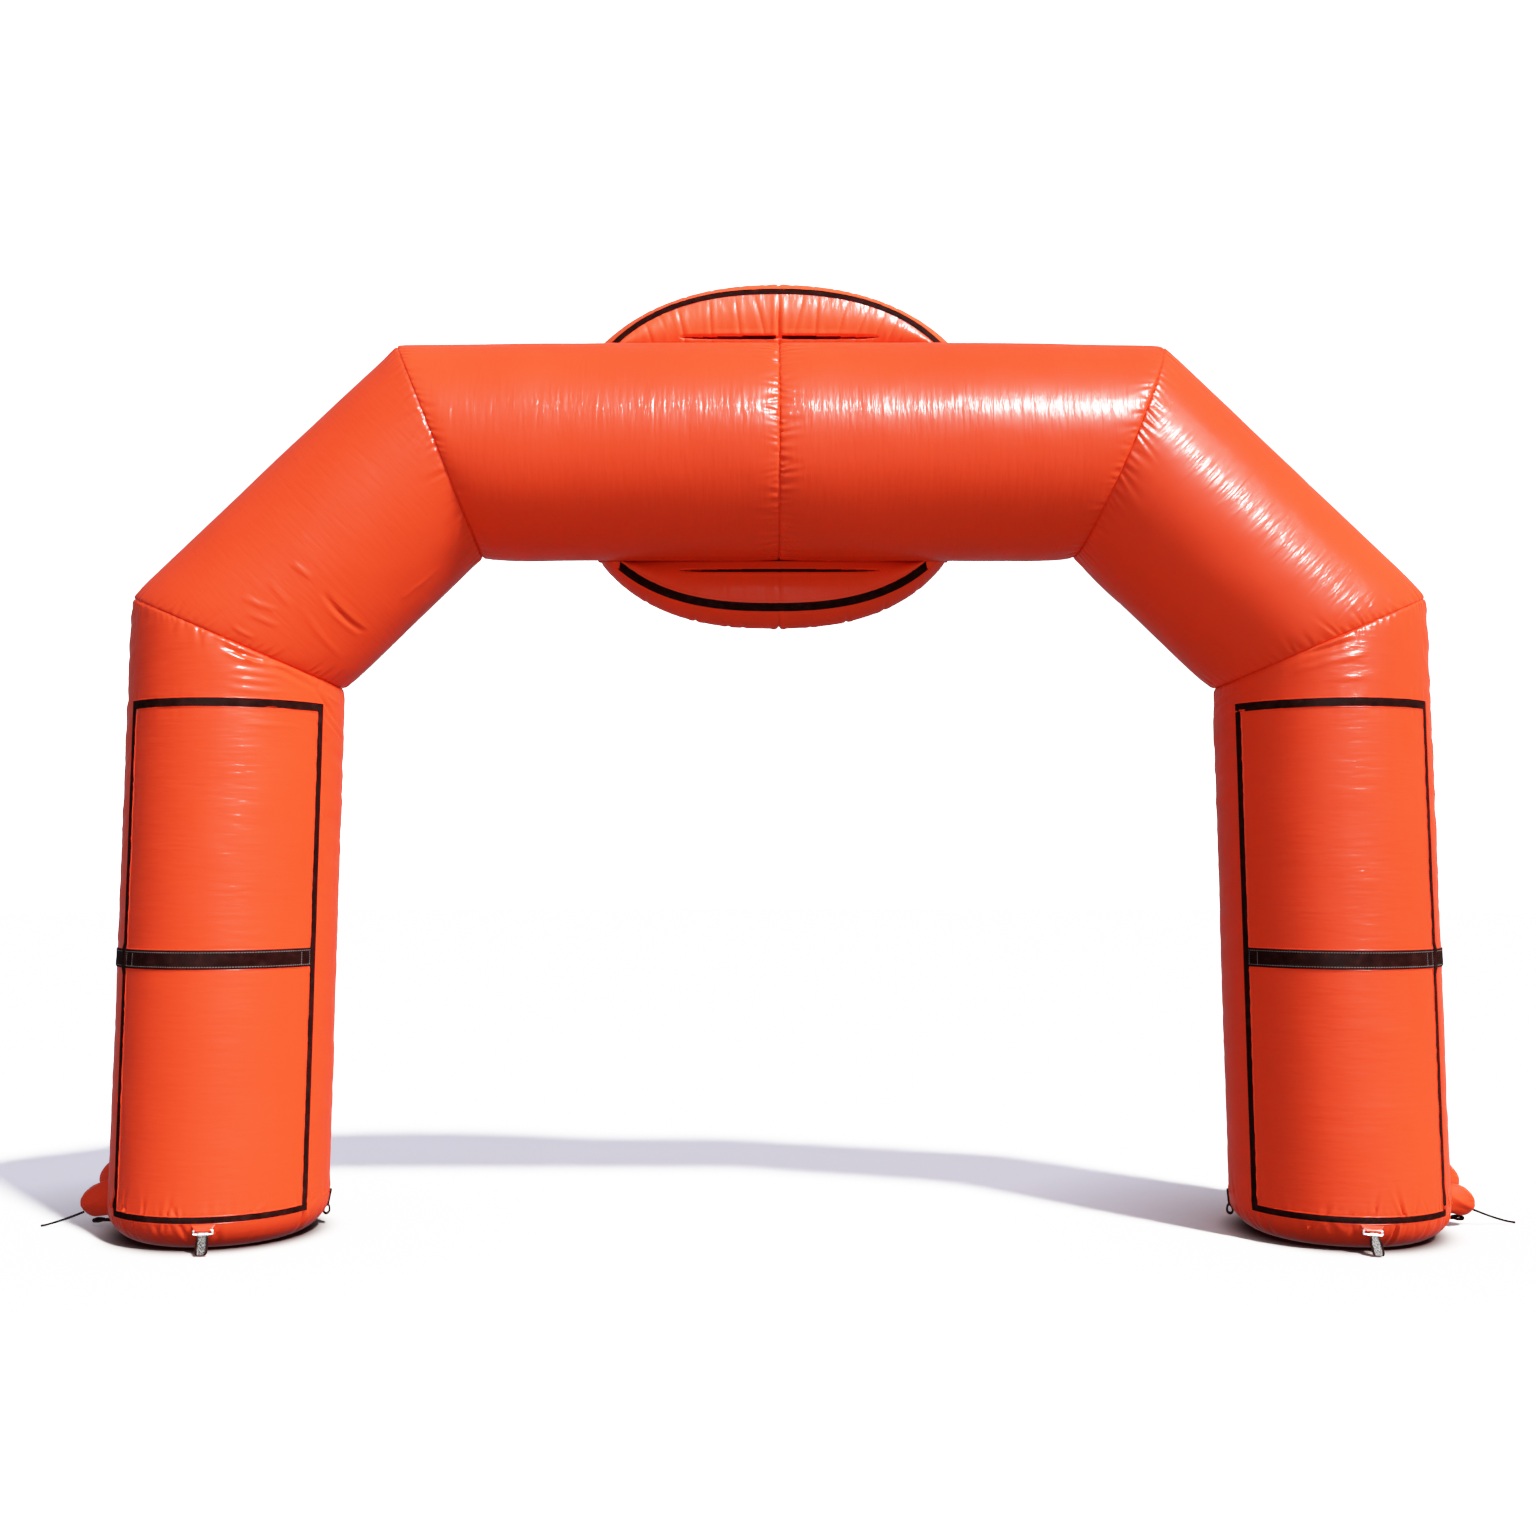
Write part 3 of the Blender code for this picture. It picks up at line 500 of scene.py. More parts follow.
class Tube:
    """A straight tube of the right half between two cutting planes."""

    def __init__(self, start, end, cuts, seams, body_radius, turns=(0.0, 0.0)):
        self.start, self.cuts, self.seams, self.turns = start, cuts, seams, turns
        self.body_radius = body_radius
        self.length = np.linalg.norm(end - start)
        self.along = (end - start) / self.length
        self.outwards = np.array((self.along[2], 0, -self.along[0]))
        self.mean_radius = float(body_radius(np.full(1, self.length / 2))[0])

    def surface(self, angles, fractions, relief):
        """Points over the tube (rows, columns, 3). The relief gets angles, places and both distances."""
        aside = self.outwards * np.sin(angles)[..., None] - np.array((0, 1.0, 0)) * np.cos(angles)[..., None]
        slopes = [-(aside @ cut) / (self.along @ cut) for cut in self.cuts]
        places = (np.zeros(1), np.full(1, self.length))
        radii = [seam or self.body_radius(place)[0] for seam, place in zip(self.seams, places)]
        gaps = [SEAM_GAP if seam else 0.0 for seam in self.seams]
        edges = (slopes[0] * radii[0] + gaps[0], self.length + slopes[1] * radii[1] - gaps[1])
        place = edges[0] + (edges[1] - edges[0]) * np.asarray(fractions)[:, None]
        distances = (np.clip(place - edges[0], 0, None), np.clip(edges[1] - place, 0, None))
        radius = self.body_radius(place)
        for seam, distance, edge in zip(self.seams, distances, edges):
            if seam:
                radius = radius - (self.body_radius(edge) - seam) * np.exp(-distance / SEAM_PINCH)
                radius = radius - GROOVE_DEPTH * np.exp(-distance / GROOVE_REACH)
        radius = radius + relief(angles[None, :], place, *distances)
        sway = 0.0
        for end, distance in enumerate(distances):
            if self.seams[end]:
                place = place + slopes[end] * (radius - radii[end]) * np.exp(-distance / SLIDE_REACH)
            sway = sway + self.cuts[end] * (self.turns[end] * np.exp(-distance / TURN_REACH))[..., None]
        points = self.start + self.along * place[..., None] + aside * radius[..., None]
        return points + sway * np.cos(angles)[None, :, None]

    def seen_at(self, side, x, y):
        """Angle and place on the tube where the camera's ray through an image place meets it first."""
        mirror = np.array((side, 1, 1))
        origin = (np.array(CAMERA_PLACE) - np.array((0, AXIS_Y, 0))) * mirror - self.start
        way = pixel_ray(x, y) * mirror
        across = way - self.along * (way @ self.along)
        offset = origin - self.along * (origin @ self.along)
        a, b, c = across @ across, across @ offset, offset @ offset - self.mean_radius**2
        point = origin + way * ((-b - math.sqrt(max(b * b - a * c, 0.0))) / a)
        return math.atan2(point @ self.outwards, -point[1]), point @ self.along


def groove(off, half_width, lip, apart):
    """A groove one deep with a raised lip on each side, at a distance from its middle."""
    lips = np.exp(-(((np.abs(off) - apart * half_width) / half_width) ** 2))
    return lip * lips - np.exp(-((off / half_width) ** 2))


def fold_relief(tube, side, angles, places, folds):
    """Height of listed folds: from and to in the image, bend, half width and height in metres."""
    total = np.zeros(np.broadcast(angles, places).shape)
    for x0, y0, x1, y1, bend, half_width, height in folds:
        first, last = tube.seen_at(side, x0, y0), tube.seen_at(side, x1, y1)
        across = (last[0] - first[0]) * tube.mean_radius
        rise = last[1] - first[1]
        length = math.hypot(across, rise)
        u, v = (wrapped(angles) - first[0]) * tube.mean_radius, places - first[1]
        share = (u * across + v * rise) / length**2
        off = (v * across - u * rise) / length - bend * 4 * share * (1 - share)
        taper = np.clip(1 - (2 * share - 1) ** 2, 0, 1) ** 0.75
        lip = 0.4 if height < 0 else 0.0
        total -= height * groove(off, half_width, lip, 2) * taper
    return total


def pucker_relief(angles, distance, seed, count, reach, depth, radius):
    """Short creases that start at a seam and run out along the tube."""
    rng = np.random.default_rng(seed)
    total = np.zeros(np.broadcast(angles, distance).shape)
    rows = np.where((distance < reach * 4).any(axis=1))[0]
    away = distance[rows]
    part = np.zeros(away.shape)
    for index in range(count):
        centre = math.tau * (index + rng.uniform(-0.35, 0.35)) / count
        size = rng.uniform(0.25, 1.0)
        long = reach * rng.uniform(0.35, 1.0)
        half_width = rng.uniform(0.0045, 0.009) / radius
        slant = rng.uniform(-0.25, 0.25) / radius
        off = wrapped(angles - centre - slant * away)
        body = groove(off, half_width * (1 + away / long * 0.6), 0.45, 2.1)
        part += size * depth * body * np.exp(-((away / long) ** 1.5)) * (1 - np.exp(-away / 0.004))
    total[rows] = part
    return total


def base_puckers(angles, distance, seed, rows):
    """Creases that run away from the bottom tape: rows of count, reach, depth and half width."""
    angles, distance = np.broadcast_arrays(angles, distance)
    total = np.zeros(angles.shape)
    chosen = (distance > 0) & (distance < 0.2)
    turn, away = angles[chosen], distance[chosen]
    part = np.zeros(turn.shape)
    rng = np.random.default_rng(seed)
    for count, reach, depth, half_width in rows:
        for index in range(count):
            centre = math.tau * (index + rng.uniform(-0.45, 0.45)) / count
            size = rng.uniform(0.15, 1.0)
            long = reach * rng.uniform(0.4, 1.0)
            slant = rng.uniform(-0.5, 0.5) / LEG_RADIUS
            wide = half_width * rng.uniform(0.7, 1.3) / LEG_RADIUS * (1 + away / long * 0.5)
            body = groove(wrapped(turn - centre - slant * away), wide, 0.6, 2)
            part += size * depth * body * np.exp(-((away / long) ** 1.6)) * (1 - np.exp(-away / 0.003))
    total[chosen] = part
    return total


def soft_relief(angles, places, seed, height):
    """Slow unevenness of the filled cloth."""
    waves = cell_noise(angles / math.tau * 9, places / 0.34, seed, 9)
    return (waves + 0.5 * cell_noise(angles / math.tau * 22, places / 0.13, seed + 1, 22)) * height


def graded(length, reach, both=True):
    """Shares from 0 to 1, in fine steps near the ends and coarse ones between."""
    places = [0.0]
    while places[-1] < length:
        left = length - places[-1]
        near = min(places[-1], left) if both else left
        places.append(places[-1] + FINE_STEP + (COARSE_STEP - FINE_STEP) * min(near / reach, 1.0))
    return np.array(places) / places[-1]


# Tubes


def leg_axis_x(height):
    return LEG_FOOT_X - math.tan(LEG_LEAN) * height


def leg_axis_point(height):
    return np.array((leg_axis_x(height), 0, height))


def rim_radius(level):
    rise = np.clip(RIM_RADIUS - level, 0, RIM_RADIUS)
    return LEG_RADIUS - RIM_RADIUS + np.sqrt(RIM_RADIUS**2 - rise**2)


def beam_body(place):
    return BEAM_END_RADIUS + (BEAM_RADIUS - BEAM_END_RADIUS) * smooth_step(place, 0, BEAM_SWELL)


PLEAT_HEIGHT = 0.0026
ABOVE_TAPE = ((34, 0.070, 0.0110, 0.0060), (80, 0.030, 0.0060, 0.0045))
BELOW_TAPE = ((34, 0.100, 0.0130, 0.0085), (70, 0.045, 0.0065, 0.0050))


def leg_relief(side, angles, levels):
    """Height of the cloth of a leg off its plain round form, at angles and levels."""
    seed = 40 if side < 0 else 60
    low, high = BOTTOM_TAPE
    below = np.clip(levels / low, 0, 1)
    swell = np.clip(np.sin(math.pi * below), 0, 1) ** 0.5
    relief = base_puckers(angles, low - levels, seed, BELOW_TAPE) * swell
    relief = relief + base_puckers(angles, levels - high, seed + 1, ABOVE_TAPE)
    half = math.radians(FRAME_HALF)
    off = wrapped(angles - math.radians(FRAME_TURN))
    to_side = np.abs(np.abs(off) - half) * LEG_RADIUS - SIDE_TAPE_WIDTH / 2
    in_height = (levels > high) & (levels < TOP_TAPE[1])
    side_pull = np.exp(-np.clip(to_side, 0, None) / 0.030) * (to_side > 0) * in_height
    relief += 0.0020 * cell_noise(np.sign(off) * 3, levels / 0.020, seed + 2) * side_pull
    for edge, way in ((TOP_TAPE[0], -1), (TOP_TAPE[1], 1)):
        away = (levels - edge) * way
        pull = np.exp(-np.clip(away, 0, None) / 0.026) * (away > 0) * (np.abs(off) < half)
        relief += 0.0022 * cell_noise(angles / math.tau * 130, 0.0, seed + 3, 130) * pull
    outside = smooth_step(to_side, 0.0, 0.03) * smooth_step(levels, high, high + 0.25)
    outside = outside * np.where(np.abs(off) > half, 1.0, 0.3)
    lean = levels + 0.10 * np.abs(off)
    pleats = cell_noise(off * 2.2 + 40, lean / 0.042, seed + 7)
    pleats = pleats + 0.5 * cell_noise(off * 3 + 40, lean / 0.027, seed + 8)
    relief += PLEAT_HEIGHT * pleats * outside * (0.55 + 0.45 * smooth_step(levels, 1.3, 2.1))
    under = smooth_step(to_side, 0.0, 0.02)
    calm = smooth_step(levels, high, high + 0.2)
    relief += soft_relief(angles, levels, seed + 4, 0.0016) * calm * (0.35 + 0.65 * under)
    return relief


def leg_columns():
    """Angles round a leg, closer together beside the side tapes."""
    angles = [turn for turn in wide_angles(424) if abs(turn) < 1.75]
    angles += [turn for turn in wide_angles(200) if abs(turn) > 1.76]
    for way in (-1, 1):
        middle = math.radians(FRAME_TURN + way * FRAME_HALF)
        angles += list(middle + np.linspace(-0.045, 0.045, 25) / LEG_RADIUS)
    angles = np.sort(np.array(angles) % math.tau)
    apart = np.diff(np.append(angles, angles[0] + math.tau))
    return angles[apart > 0.0012 / LEG_RADIUS]


def leg_levels():
    levels = list(np.linspace(0, BOTTOM_TAPE[0], 30)) + list(np.linspace(*BOTTOM_TAPE, 5)[1:])
    levels += list(np.linspace(BOTTOM_TAPE[1], 0.25, 20)[1:])
    levels += list(np.arange(0.265, STRAIGHT_TOP - 0.01, 0.015))
    return np.array(levels)


# Folds seen in the photograph: from x, y, to x, y in the image, bend, half width and height in metres
FOLDS = {
    "leg_left": (
        (214, 636, 264, 652, 0.004, 0.010, 0.0090),
        (222, 646, 262, 660, 0.004, 0.009, -0.0080),
        (230, 657, 290, 668, 0.004, 0.008, 0.0060),
        (226, 668, 284, 676, 0.003, 0.008, 0.0060),
        (232, 678, 280, 683, 0.003, 0.008, 0.0055),
        (226, 688, 290, 692, 0.003, 0.008, 0.0045),
        (248, 704, 300, 711, 0.003, 0.009, 0.0030),
        (238, 722, 300, 727, 0.003, 0.009, 0.0028),
        (262, 660, 322, 692, 0.006, 0.012, -0.0050),
        (316, 690, 336, 722, 0.004, 0.009, -0.0070),
        (322, 692, 341, 706, 0.004, 0.008, 0.0050),
        (320, 712, 342, 742, 0.004, 0.009, -0.0045),
        (318, 735, 342, 768, 0.004, 0.009, -0.0040),
    ),
    "leg_right": (
        (1312, 645, 1352, 634, -0.004, 0.009, 0.0080),
        (1300, 655, 1356, 640, -0.004, 0.009, -0.0070),
        (1322, 663, 1372, 650, -0.004, 0.009, 0.0055),
        (1290, 672, 1340, 658, -0.004, 0.010, 0.0045),
        (1330, 680, 1385, 672, -0.003, 0.009, 0.0035),
        (1216, 706, 1252, 690, -0.004, 0.010, -0.0060),
        (1222, 716, 1262, 704, -0.004, 0.010, 0.0035),
    ),
    "shoulder_left": (
        (438, 455, 456, 510, -0.010, 0.012, 0.0060),
        (456, 510, 446, 555, -0.010, 0.012, 0.0060),
        (292, 562, 312, 578, 0.003, 0.008, 0.0060),
        (240, 596, 276, 610, 0.004, 0.008, 0.0060),
        (246, 612, 280, 626, 0.004, 0.008, 0.0055),
        (232, 626, 254, 638, 0.003, 0.008, 0.0050),
        (322, 592, 364, 632, 0.012, 0.011, -0.0085),
        (300, 606, 344, 660, 0.010, 0.011, 0.0030),
        (270, 580, 292, 606, 0.008, 0.010, 0.0030),
        (400, 600, 440, 566, 0.006, 0.012, 0.0035),
    ),
    "shoulder_right": (
        (1080, 570, 1112, 612, 0.008, 0.012, 0.0040),
    ),
}
# Heights in the image of the short pleats between the left leg's inner tape and its side
SIDE_PLEATS = (782, 800, 817, 838, 849, 861, 870, 884, 896, 908, 925, 933, 941, 949, 1004, 1030, 1061, 1096)
for y in SIDE_PLEATS:
    x = 327.5 - 0.02 * (y - 860)
    FOLDS["leg_left"] += ((x, y, x + 7, y + 3, -0.002, 0.0095, -0.0050),)

# Creases at the seams: kind of tube, step of the seed, then count, reach and depth at its start and at its end
PUCKERS = (
    ("shoulder", 10, (84, 0.070, 0.0062), (90, 0.080, 0.0055)),
    ("beam", 20, (96, 0.060, 0.0055), (84, 0.070, 0.0080)),
)
KNEE_PUCKERS = (90, 0.060, 0.0050)


def place_tube(kind, name, rings, material):
    rings = (rings + np.array((0, AXIS_Y, 0))) * np.array((SIDES[name], 1, 1))
    thing = closed_loft(f"{kind}_cloth_{name}", rings, material)
    place_piece(thing, "cloth", f"{kind}_{name}", fill=1.0)


def make_leg(name, seed, tube, material):
    side, angles, levels = SIDES[name], leg_columns(), leg_levels()

    def upper(turn, place, from_start, from_end):
        height = STRAIGHT_TOP + place * tube.along[2] + np.sin(turn) * LEG_RADIUS * tube.outwards[2]
        relief = leg_relief(side, turn, height) * smooth_step(from_end, 0.0, 0.06)
        relief += pucker_relief(turn, from_end, seed, *KNEE_PUCKERS, LEG_RADIUS)
        folds = fold_relief(tube, side, turn, place, FOLDS[f"leg_{name}"])
        return relief + folds * (1 - np.exp(-from_end / NEAR_SEAM))

    radius = rim_radius(levels)[:, None] + leg_relief(side, angles[None, :], levels[:, None])
    lower = np.stack((np.sin(angles), -np.cos(angles), 0 * angles), -1) * radius[..., None]
    lower[..., 0] += leg_axis_x(levels)[:, None]
    lower[..., 2] += levels[:, None]
    shares = graded(tube.length, 0.10, both=False)
    place_tube("leg", name, np.vstack((lower, tube.surface(angles, shares, upper))), material)


def make_tubes(materials):
    top, knee = leg_axis_point(STRAIGHT_TOP), leg_axis_point(KNEE_HEIGHT)
    corner = np.array((CORNER_X, 0, CORNER_HEIGHT))
    middle = np.array((0, 0, CORNER_HEIGHT + BEAM_RISE))
    knee_cut = unit(unit(knee - top) + unit(corner - knee))
    corner_cut = unit(unit(corner - knee) + unit(middle - corner))
    level, middle_cut = np.array((0.0, 0, 1)), np.array((-1.0, 0, 0))
    leg = Tube(top, knee, (level, knee_cut), (None, KNEE_SEAM_RADIUS), lambda place: LEG_RADIUS + 0 * place)
    for name, side in SIDES.items():
        seed = 100 if side < 0 else 200
        make_leg(name, seed, leg, materials["leg"])
        size, turn = SHOULDERS[name]
        seams = (KNEE_SEAM_RADIUS, CORNER_SEAM_RADIUS, CENTRE_SEAM_RADIUS)
        tubes = {
            "shoulder": Tube(
                knee, corner, (knee_cut, corner_cut), seams[:2], lambda place: size + 0 * place, (0.0, turn)
            ),
            "beam": Tube(corner, middle, (corner_cut, middle_cut), seams[1:], beam_body, (turn, 0.0)),
        }
        for kind, step, *marks in PUCKERS:
            tube = tubes[kind]

            def relief(turn, place, *distances):
                near = np.minimum(*distances)
                total = soft_relief(turn, place, seed + step, 0.0019) * smooth_step(near, 0.0, 0.12)
                for order, (distance, mark) in enumerate(zip(distances, marks), 1):
                    total += pucker_relief(turn, distance, seed + step + order, *mark, tube.mean_radius)
                folds = fold_relief(tube, side, turn, place, FOLDS.get(f"{kind}_{name}", ()))
                return total + folds * (1 - np.exp(-near / NEAR_SEAM))

            rings = tube.surface(wide_angles(TUBE_COLUMNS), graded(tube.length, 0.12), relief)
            place_tube(kind, name, rings, materials[f"{kind}_{name}"])


# Crest

CREST_FRONT = 0.060
CREST_BACK = 0.350
SEAM_CHAMFER = 0.0135
CREST_TAPE = 0.0030
TAPE_WRAP = (0.004, 0.003)  # how far the binding reaches over the rim and over the face
JOINT_FRONT = 0.102
JOINT_BACK = 0.362
JOINT_ROOM = 0.0007
CREST_FILM = 0.0006  # least height of a crest over the beam
CREST_MARGIN = 0.004  # room kept before and behind what rises from the beam
CREST_RUN_OUT = 0.030  # length over which the ends of a crest sink to nothing
FACE_BULGE = 0.030
BACK_BULGE = 0.035
TUCK_HEIGHTS = {"upper": 0.079, "lower": 0.050}
TUCK_HALF_WIDTH = 0.0065
TUCK_DEPTH = 0.042
TUCK_HALF_LENGTH = 0.47
CENTRE_HEIGHT = 3.598
RIM_ROUNDNESS = 0.7
CREST_STATIONS = 330
TUCK_COLUMN = 43  # the point of a section's face that lies deepest in the tuck
TUCK_SHADE_COLUMNS = 6
CLEAR_OF_SEAM = 0.014  # no tuck shade this close to the upper crest's middle seam
TAPE_STOP = 0.012
CREASE_SPREAD = 0.0040
# name, side of the beam, middle along X, then half width, height and power of the oval through the
# taped seam and of the oval over the rim
CRESTS = (
    ("upper", 1, -0.0105, (0.945, 0.745, 2.3), (1.047, 0.8190, 2.15)),
    ("lower", -1, -0.0270, (0.922, 0.752, 2.5), (0.962, 0.8326, 2.4)),
)
# name: rows of place along X, depth on the face, depth on the rim, lean of the crease along X per metre up
CREASES = {
    "upper": (
        (-0.577, 0.006, 0.004, -0.35),
        (-0.431, 0.009, 0.004, -0.20),
        (-0.314, 0.009, 0.004, -0.05),
        (-0.173, 0.008, 0.004, -0.12),
        (-0.045, 0.006, 0.003, -0.25),
        (0.000, 0.020, 0.010, 0.0),
        (0.050, 0.006, 0.003, 0.25),
        (0.160, 0.007, 0.003, 0.10),
        (0.250, 0.006, 0.003, 0.30),
        (0.333, 0.007, 0.004, 0.40),
        (0.415, 0.007, 0.004, 0.45),
        (0.480, 0.005, 0.003, 0.50),
        (0.530, 0.007, 0.004, 0.55),
    ),
    "lower": (
        (-0.640, 0.004, 0.004, 0.2),
        (-0.395, 0.003, 0.007, 0.0),
        (-0.240, 0.003, 0.006, 0.0),
        (-0.170, 0.002, 0.004, 0.0),
        (0.000, 0.010, 0.012, 0.0),
        (0.150, 0.003, 0.004, 0.0),
        (0.320, 0.004, 0.007, 0.0),
        (0.500, 0.003, 0.005, 0.0),
        (0.660, 0.004, 0.005, 0.0),
    ),
}


def oval(x, size, inset=0.0):
    width, height, power = size
    share = min(abs(x) / (width + inset), 1.0)
    return (height + inset) * (1 - share**power) ** (1 / power)


def crest_reach(side, size, y):
    width, height, power = size
    beam = side * (CORNER_HEIGHT + BEAM_RISE - CENTRE_HEIGHT) + math.sqrt(BEAM_RADIUS**2 - y**2)
    return width * (1 - (beam / height) ** power) ** (1 / power)


def crease_depth(name, x, up, column):
    """Depth of the creases at x and at a height above the beam. The column is 1 for the face, 2 for the rim."""
    depth = 0.0
    for row in CREASES[name]:
        off = abs(x - row[0] - row[3] * up)
        sharp = math.exp(-((off / CREASE_SPREAD) ** 1.3))
        shoulder = 0.35 * math.exp(-(((off - 0.022) / 0.012) ** 2))
        depth += row[column] * (sharp - shoulder)
    return depth


def crest_section(name, side, middle, seam_size, rim_size, x):
    """Outline of a crest across the beam at x, as (y, z), and where its taped seam lies in it."""
    axis = CORNER_HEIGHT + BEAM_RISE * (1 - abs(x) / CORNER_X)
    radius = BEAM_RADIUS + JOINT_ROOM
    seed = 5 if side > 0 else 6
    end_share = abs(x - middle) / rim_size[0]

    def height(size, inset):
        return (CENTRE_HEIGHT + oval(x - middle, size, inset) * side - axis) * side

    def on_beam(y):
        return math.sqrt(radius**2 - min(y, radius * 0.99) ** 2)

    def noise(u, v, step=0):
        return float(cell_noise(u, v, seed + step))

    outline = [(y, on_beam(y)) for y in np.linspace(JOINT_FRONT, JOINT_BACK, 10)]
    face_top = height(seam_size, -SEAM_CHAMFER)
    low_z = on_beam(JOINT_BACK)
    for share in np.linspace(0.02, 1, 18):
        crease = crease_depth(name, x, share * (face_top - low_z), 2)
        y = JOINT_BACK + (CREST_BACK - JOINT_BACK) * share + (BACK_BULGE - crease) * math.sin(math.pi * share)
        outline.append((y + SEAM_CHAMFER * share**6, low_z + (face_top - low_z) * share))
    low, high = height(seam_size, SEAM_CHAMFER), height(rim_size, 0.0)
    crease = crease_depth(name, x, high - low, 2)
    for share in np.linspace(1, 0, 34):
        wrinkle = noise(x / 0.026, share * 4) * 0.0007 * (0.4 + 2.0 * end_share**3)
        wrinkle -= 0.0016 * abs(noise(x / 0.021, 7.5)) * math.exp(-share / 0.18)
        y = CREST_FRONT + SEAM_CHAMFER + (CREST_BACK - CREST_FRONT - 2 * SEAM_CHAMFER) * share
        swell = math.sin(math.pi * share) ** RIM_ROUNDNESS
        outline.append((y, low + (high - low - crease + wrinkle) * swell))
    seam = len(outline) - 1
    low_z = on_beam(JOINT_FRONT)
    tall = face_top - low_z
    face_y = CREST_FRONT - SEAM_CHAMFER
    tuck = TUCK_DEPTH * max(1 - (abs(x) / TUCK_HALF_LENGTH) ** 3, 0.0)
    if side > 0:
        tuck *= 1 - math.exp(-((x / 0.02) ** 2))
    tuck_share = min(TUCK_HEIGHTS[name] / max(tall, 0.001), 0.45)
    shares = (
        np.linspace(1, tuck_share + 0.12, 30),
        tuck_share + np.linspace(0.11, -0.11, 27) * min(0.16 / max(tall, 0.05), 1.2),
        np.linspace(max(tuck_share - 0.13, 0.02), 0.0, 6),
    )
    lean = 0.45 * math.copysign(min(abs(x) / 0.3, 1.0), x)
    for share in np.clip(np.sort(np.concatenate(shares))[::-1], 0.0, 1.0):
        up = share * tall
        bulge = math.sin(math.pi * share)
        crease = 0.50 * crease_depth(name, x, up, 1) * (0.45 + 0.55 * math.sin(math.pi * min(share * 1.05, 1.0)))
        crease += noise(x / 0.022, up / 0.09, 2) * 0.0010 * (0.6 + 1.6 * end_share**2)
        crease += 0.0042 * max(noise((x - lean * up) / 0.024, 3.5), 0.0) * math.exp(-(1 - share) * tall / 0.055)
        away = (up - tuck_share * tall) / TUCK_HALF_WIDTH
        y = JOINT_FRONT + (face_y - JOINT_FRONT) * share - FACE_BULGE * bulge + crease * bulge**0.4
        y += tuck * math.exp(-(away**4)) - 0.12 * tuck * math.exp(-(((away - 2.6) / 1.3) ** 2))
        outline.append((y, low_z + up))
    # Where the crest runs out, only what rises from the beam is kept, and it sinks to nothing at the very end
    middle_y = (CREST_FRONT + CREST_BACK) / 2
    left = crest_reach(side, rim_size, middle_y) - abs(x - middle)
    ease = math.sqrt(min(max(left, 0.0) / CREST_RUN_OUT, 1.0))
    shown = [y for y, z in outline if z > on_beam(y) + CREST_FILM]
    first, last = (min(shown) - CREST_MARGIN, max(shown) + CREST_MARGIN) if shown else (middle_y, middle_y)
    section = []
    for y, z in outline:
        y = min(max(y, first), last)
        foot = on_beam(y)
        section.append((y, axis + (foot + max((z - foot) * ease, CREST_FILM)) * side))
    return section, seam


def make_crests(cloth, shade, webbing):
    for name, side, middle, seam_size, rim_size in CRESTS:
        end = crest_reach(side, rim_size, (CREST_FRONT + CREST_BACK) / 2)
        tape_end = crest_reach(side, seam_size, CREST_FRONT) - TAPE_STOP
        rings, tape_rings = [], []
        for x in middle + np.linspace(-end, end, CREST_STATIONS):
            section, seam = crest_section(name, side, middle, seam_size, rim_size, float(x))
            rings.append([(x, y + AXIS_Y, z) for y, z in section])
            if abs(x - middle) < tape_end:
                before, outer, inner, after = np.array(section[seam - 1 : seam + 3])
                wrap = (outer + unit(before - outer) * TAPE_WRAP[0], inner + unit(after - inner) * TAPE_WRAP[1])
                line = np.array((wrap[0], outer, inner, wrap[1]))
                ways = np.gradient(line, axis=0)
                ways /= np.linalg.norm(ways, axis=1)[:, None]
                away = np.stack((ways[:, 1], -ways[:, 0]), -1) * side
                lift = CONTACT + 0.0008 * float(cell_noise(x / 0.03, 0.5, 31)) + CREST_TAPE
                ring = np.vstack((line + away * CONTACT, (line + away * lift)[::-1]))
                tape_rings.append([(x, y + AXIS_Y, z) for y, z in ring])
        thing = closed_loft(f"crest_cloth_{name}", rings, [cloth[name], shade], sharp=60)
        columns, centre = len(rings[0]), seam + 1 + TUCK_COLUMN
        for row, ring in enumerate(rings[:-1]):
            off = abs(ring[0][0])
            if off < TUCK_HALF_LENGTH and (side < 0 or off > CLEAR_OF_SEAM):
                half = round(TUCK_SHADE_COLUMNS * (1 - (off / TUCK_HALF_LENGTH) ** 2) ** 0.6)
                for column in range(centre - half, centre + half):
                    thing.data.polygons[row * columns + column].material_index = 1
        place_piece(thing, "cloth", f"crest_{name}", fill=0.9)
        place_piece(closed_loft(f"crest_binding_{name}", tape_rings, webbing), "webbing", f"crest_tape_{name}")


# Tape frames


def leg_point(side, angle, level, lift):
    """A point that stands off the cloth of a leg by lift."""
    angle, level = np.broadcast_arrays(np.asarray(angle, float), np.asarray(level, float))
    radius = rim_radius(level) + leg_relief(side, angle, level) + lift
    points = np.stack((np.sin(angle) * radius, -np.cos(angle) * radius, level + 0 * radius), -1)
    points[..., 0] += leg_axis_x(level)
    points[..., 1] += AXIS_Y
    return points * np.array((side, 1, 1))


def mirrored(half):
    """Rows from an edge to the middle, and on to the other edge."""
    return half + tuple((-across, up) for across, up in half[-2::-1])


# A tape's section from its edge to its middle: share of its half width, share of its thickness
TAPE_SECTION = mirrored(
    ((-1.0, 0.0), (-1.0, 0.55), (-0.94, 0.95), (-0.86, 1.0), (-0.74, 0.80), (-0.60, 0.95), (0.0, 1.0))
)
TAPE_STEP = 0.9  # degrees round a leg
TAPE_RISE = 0.014


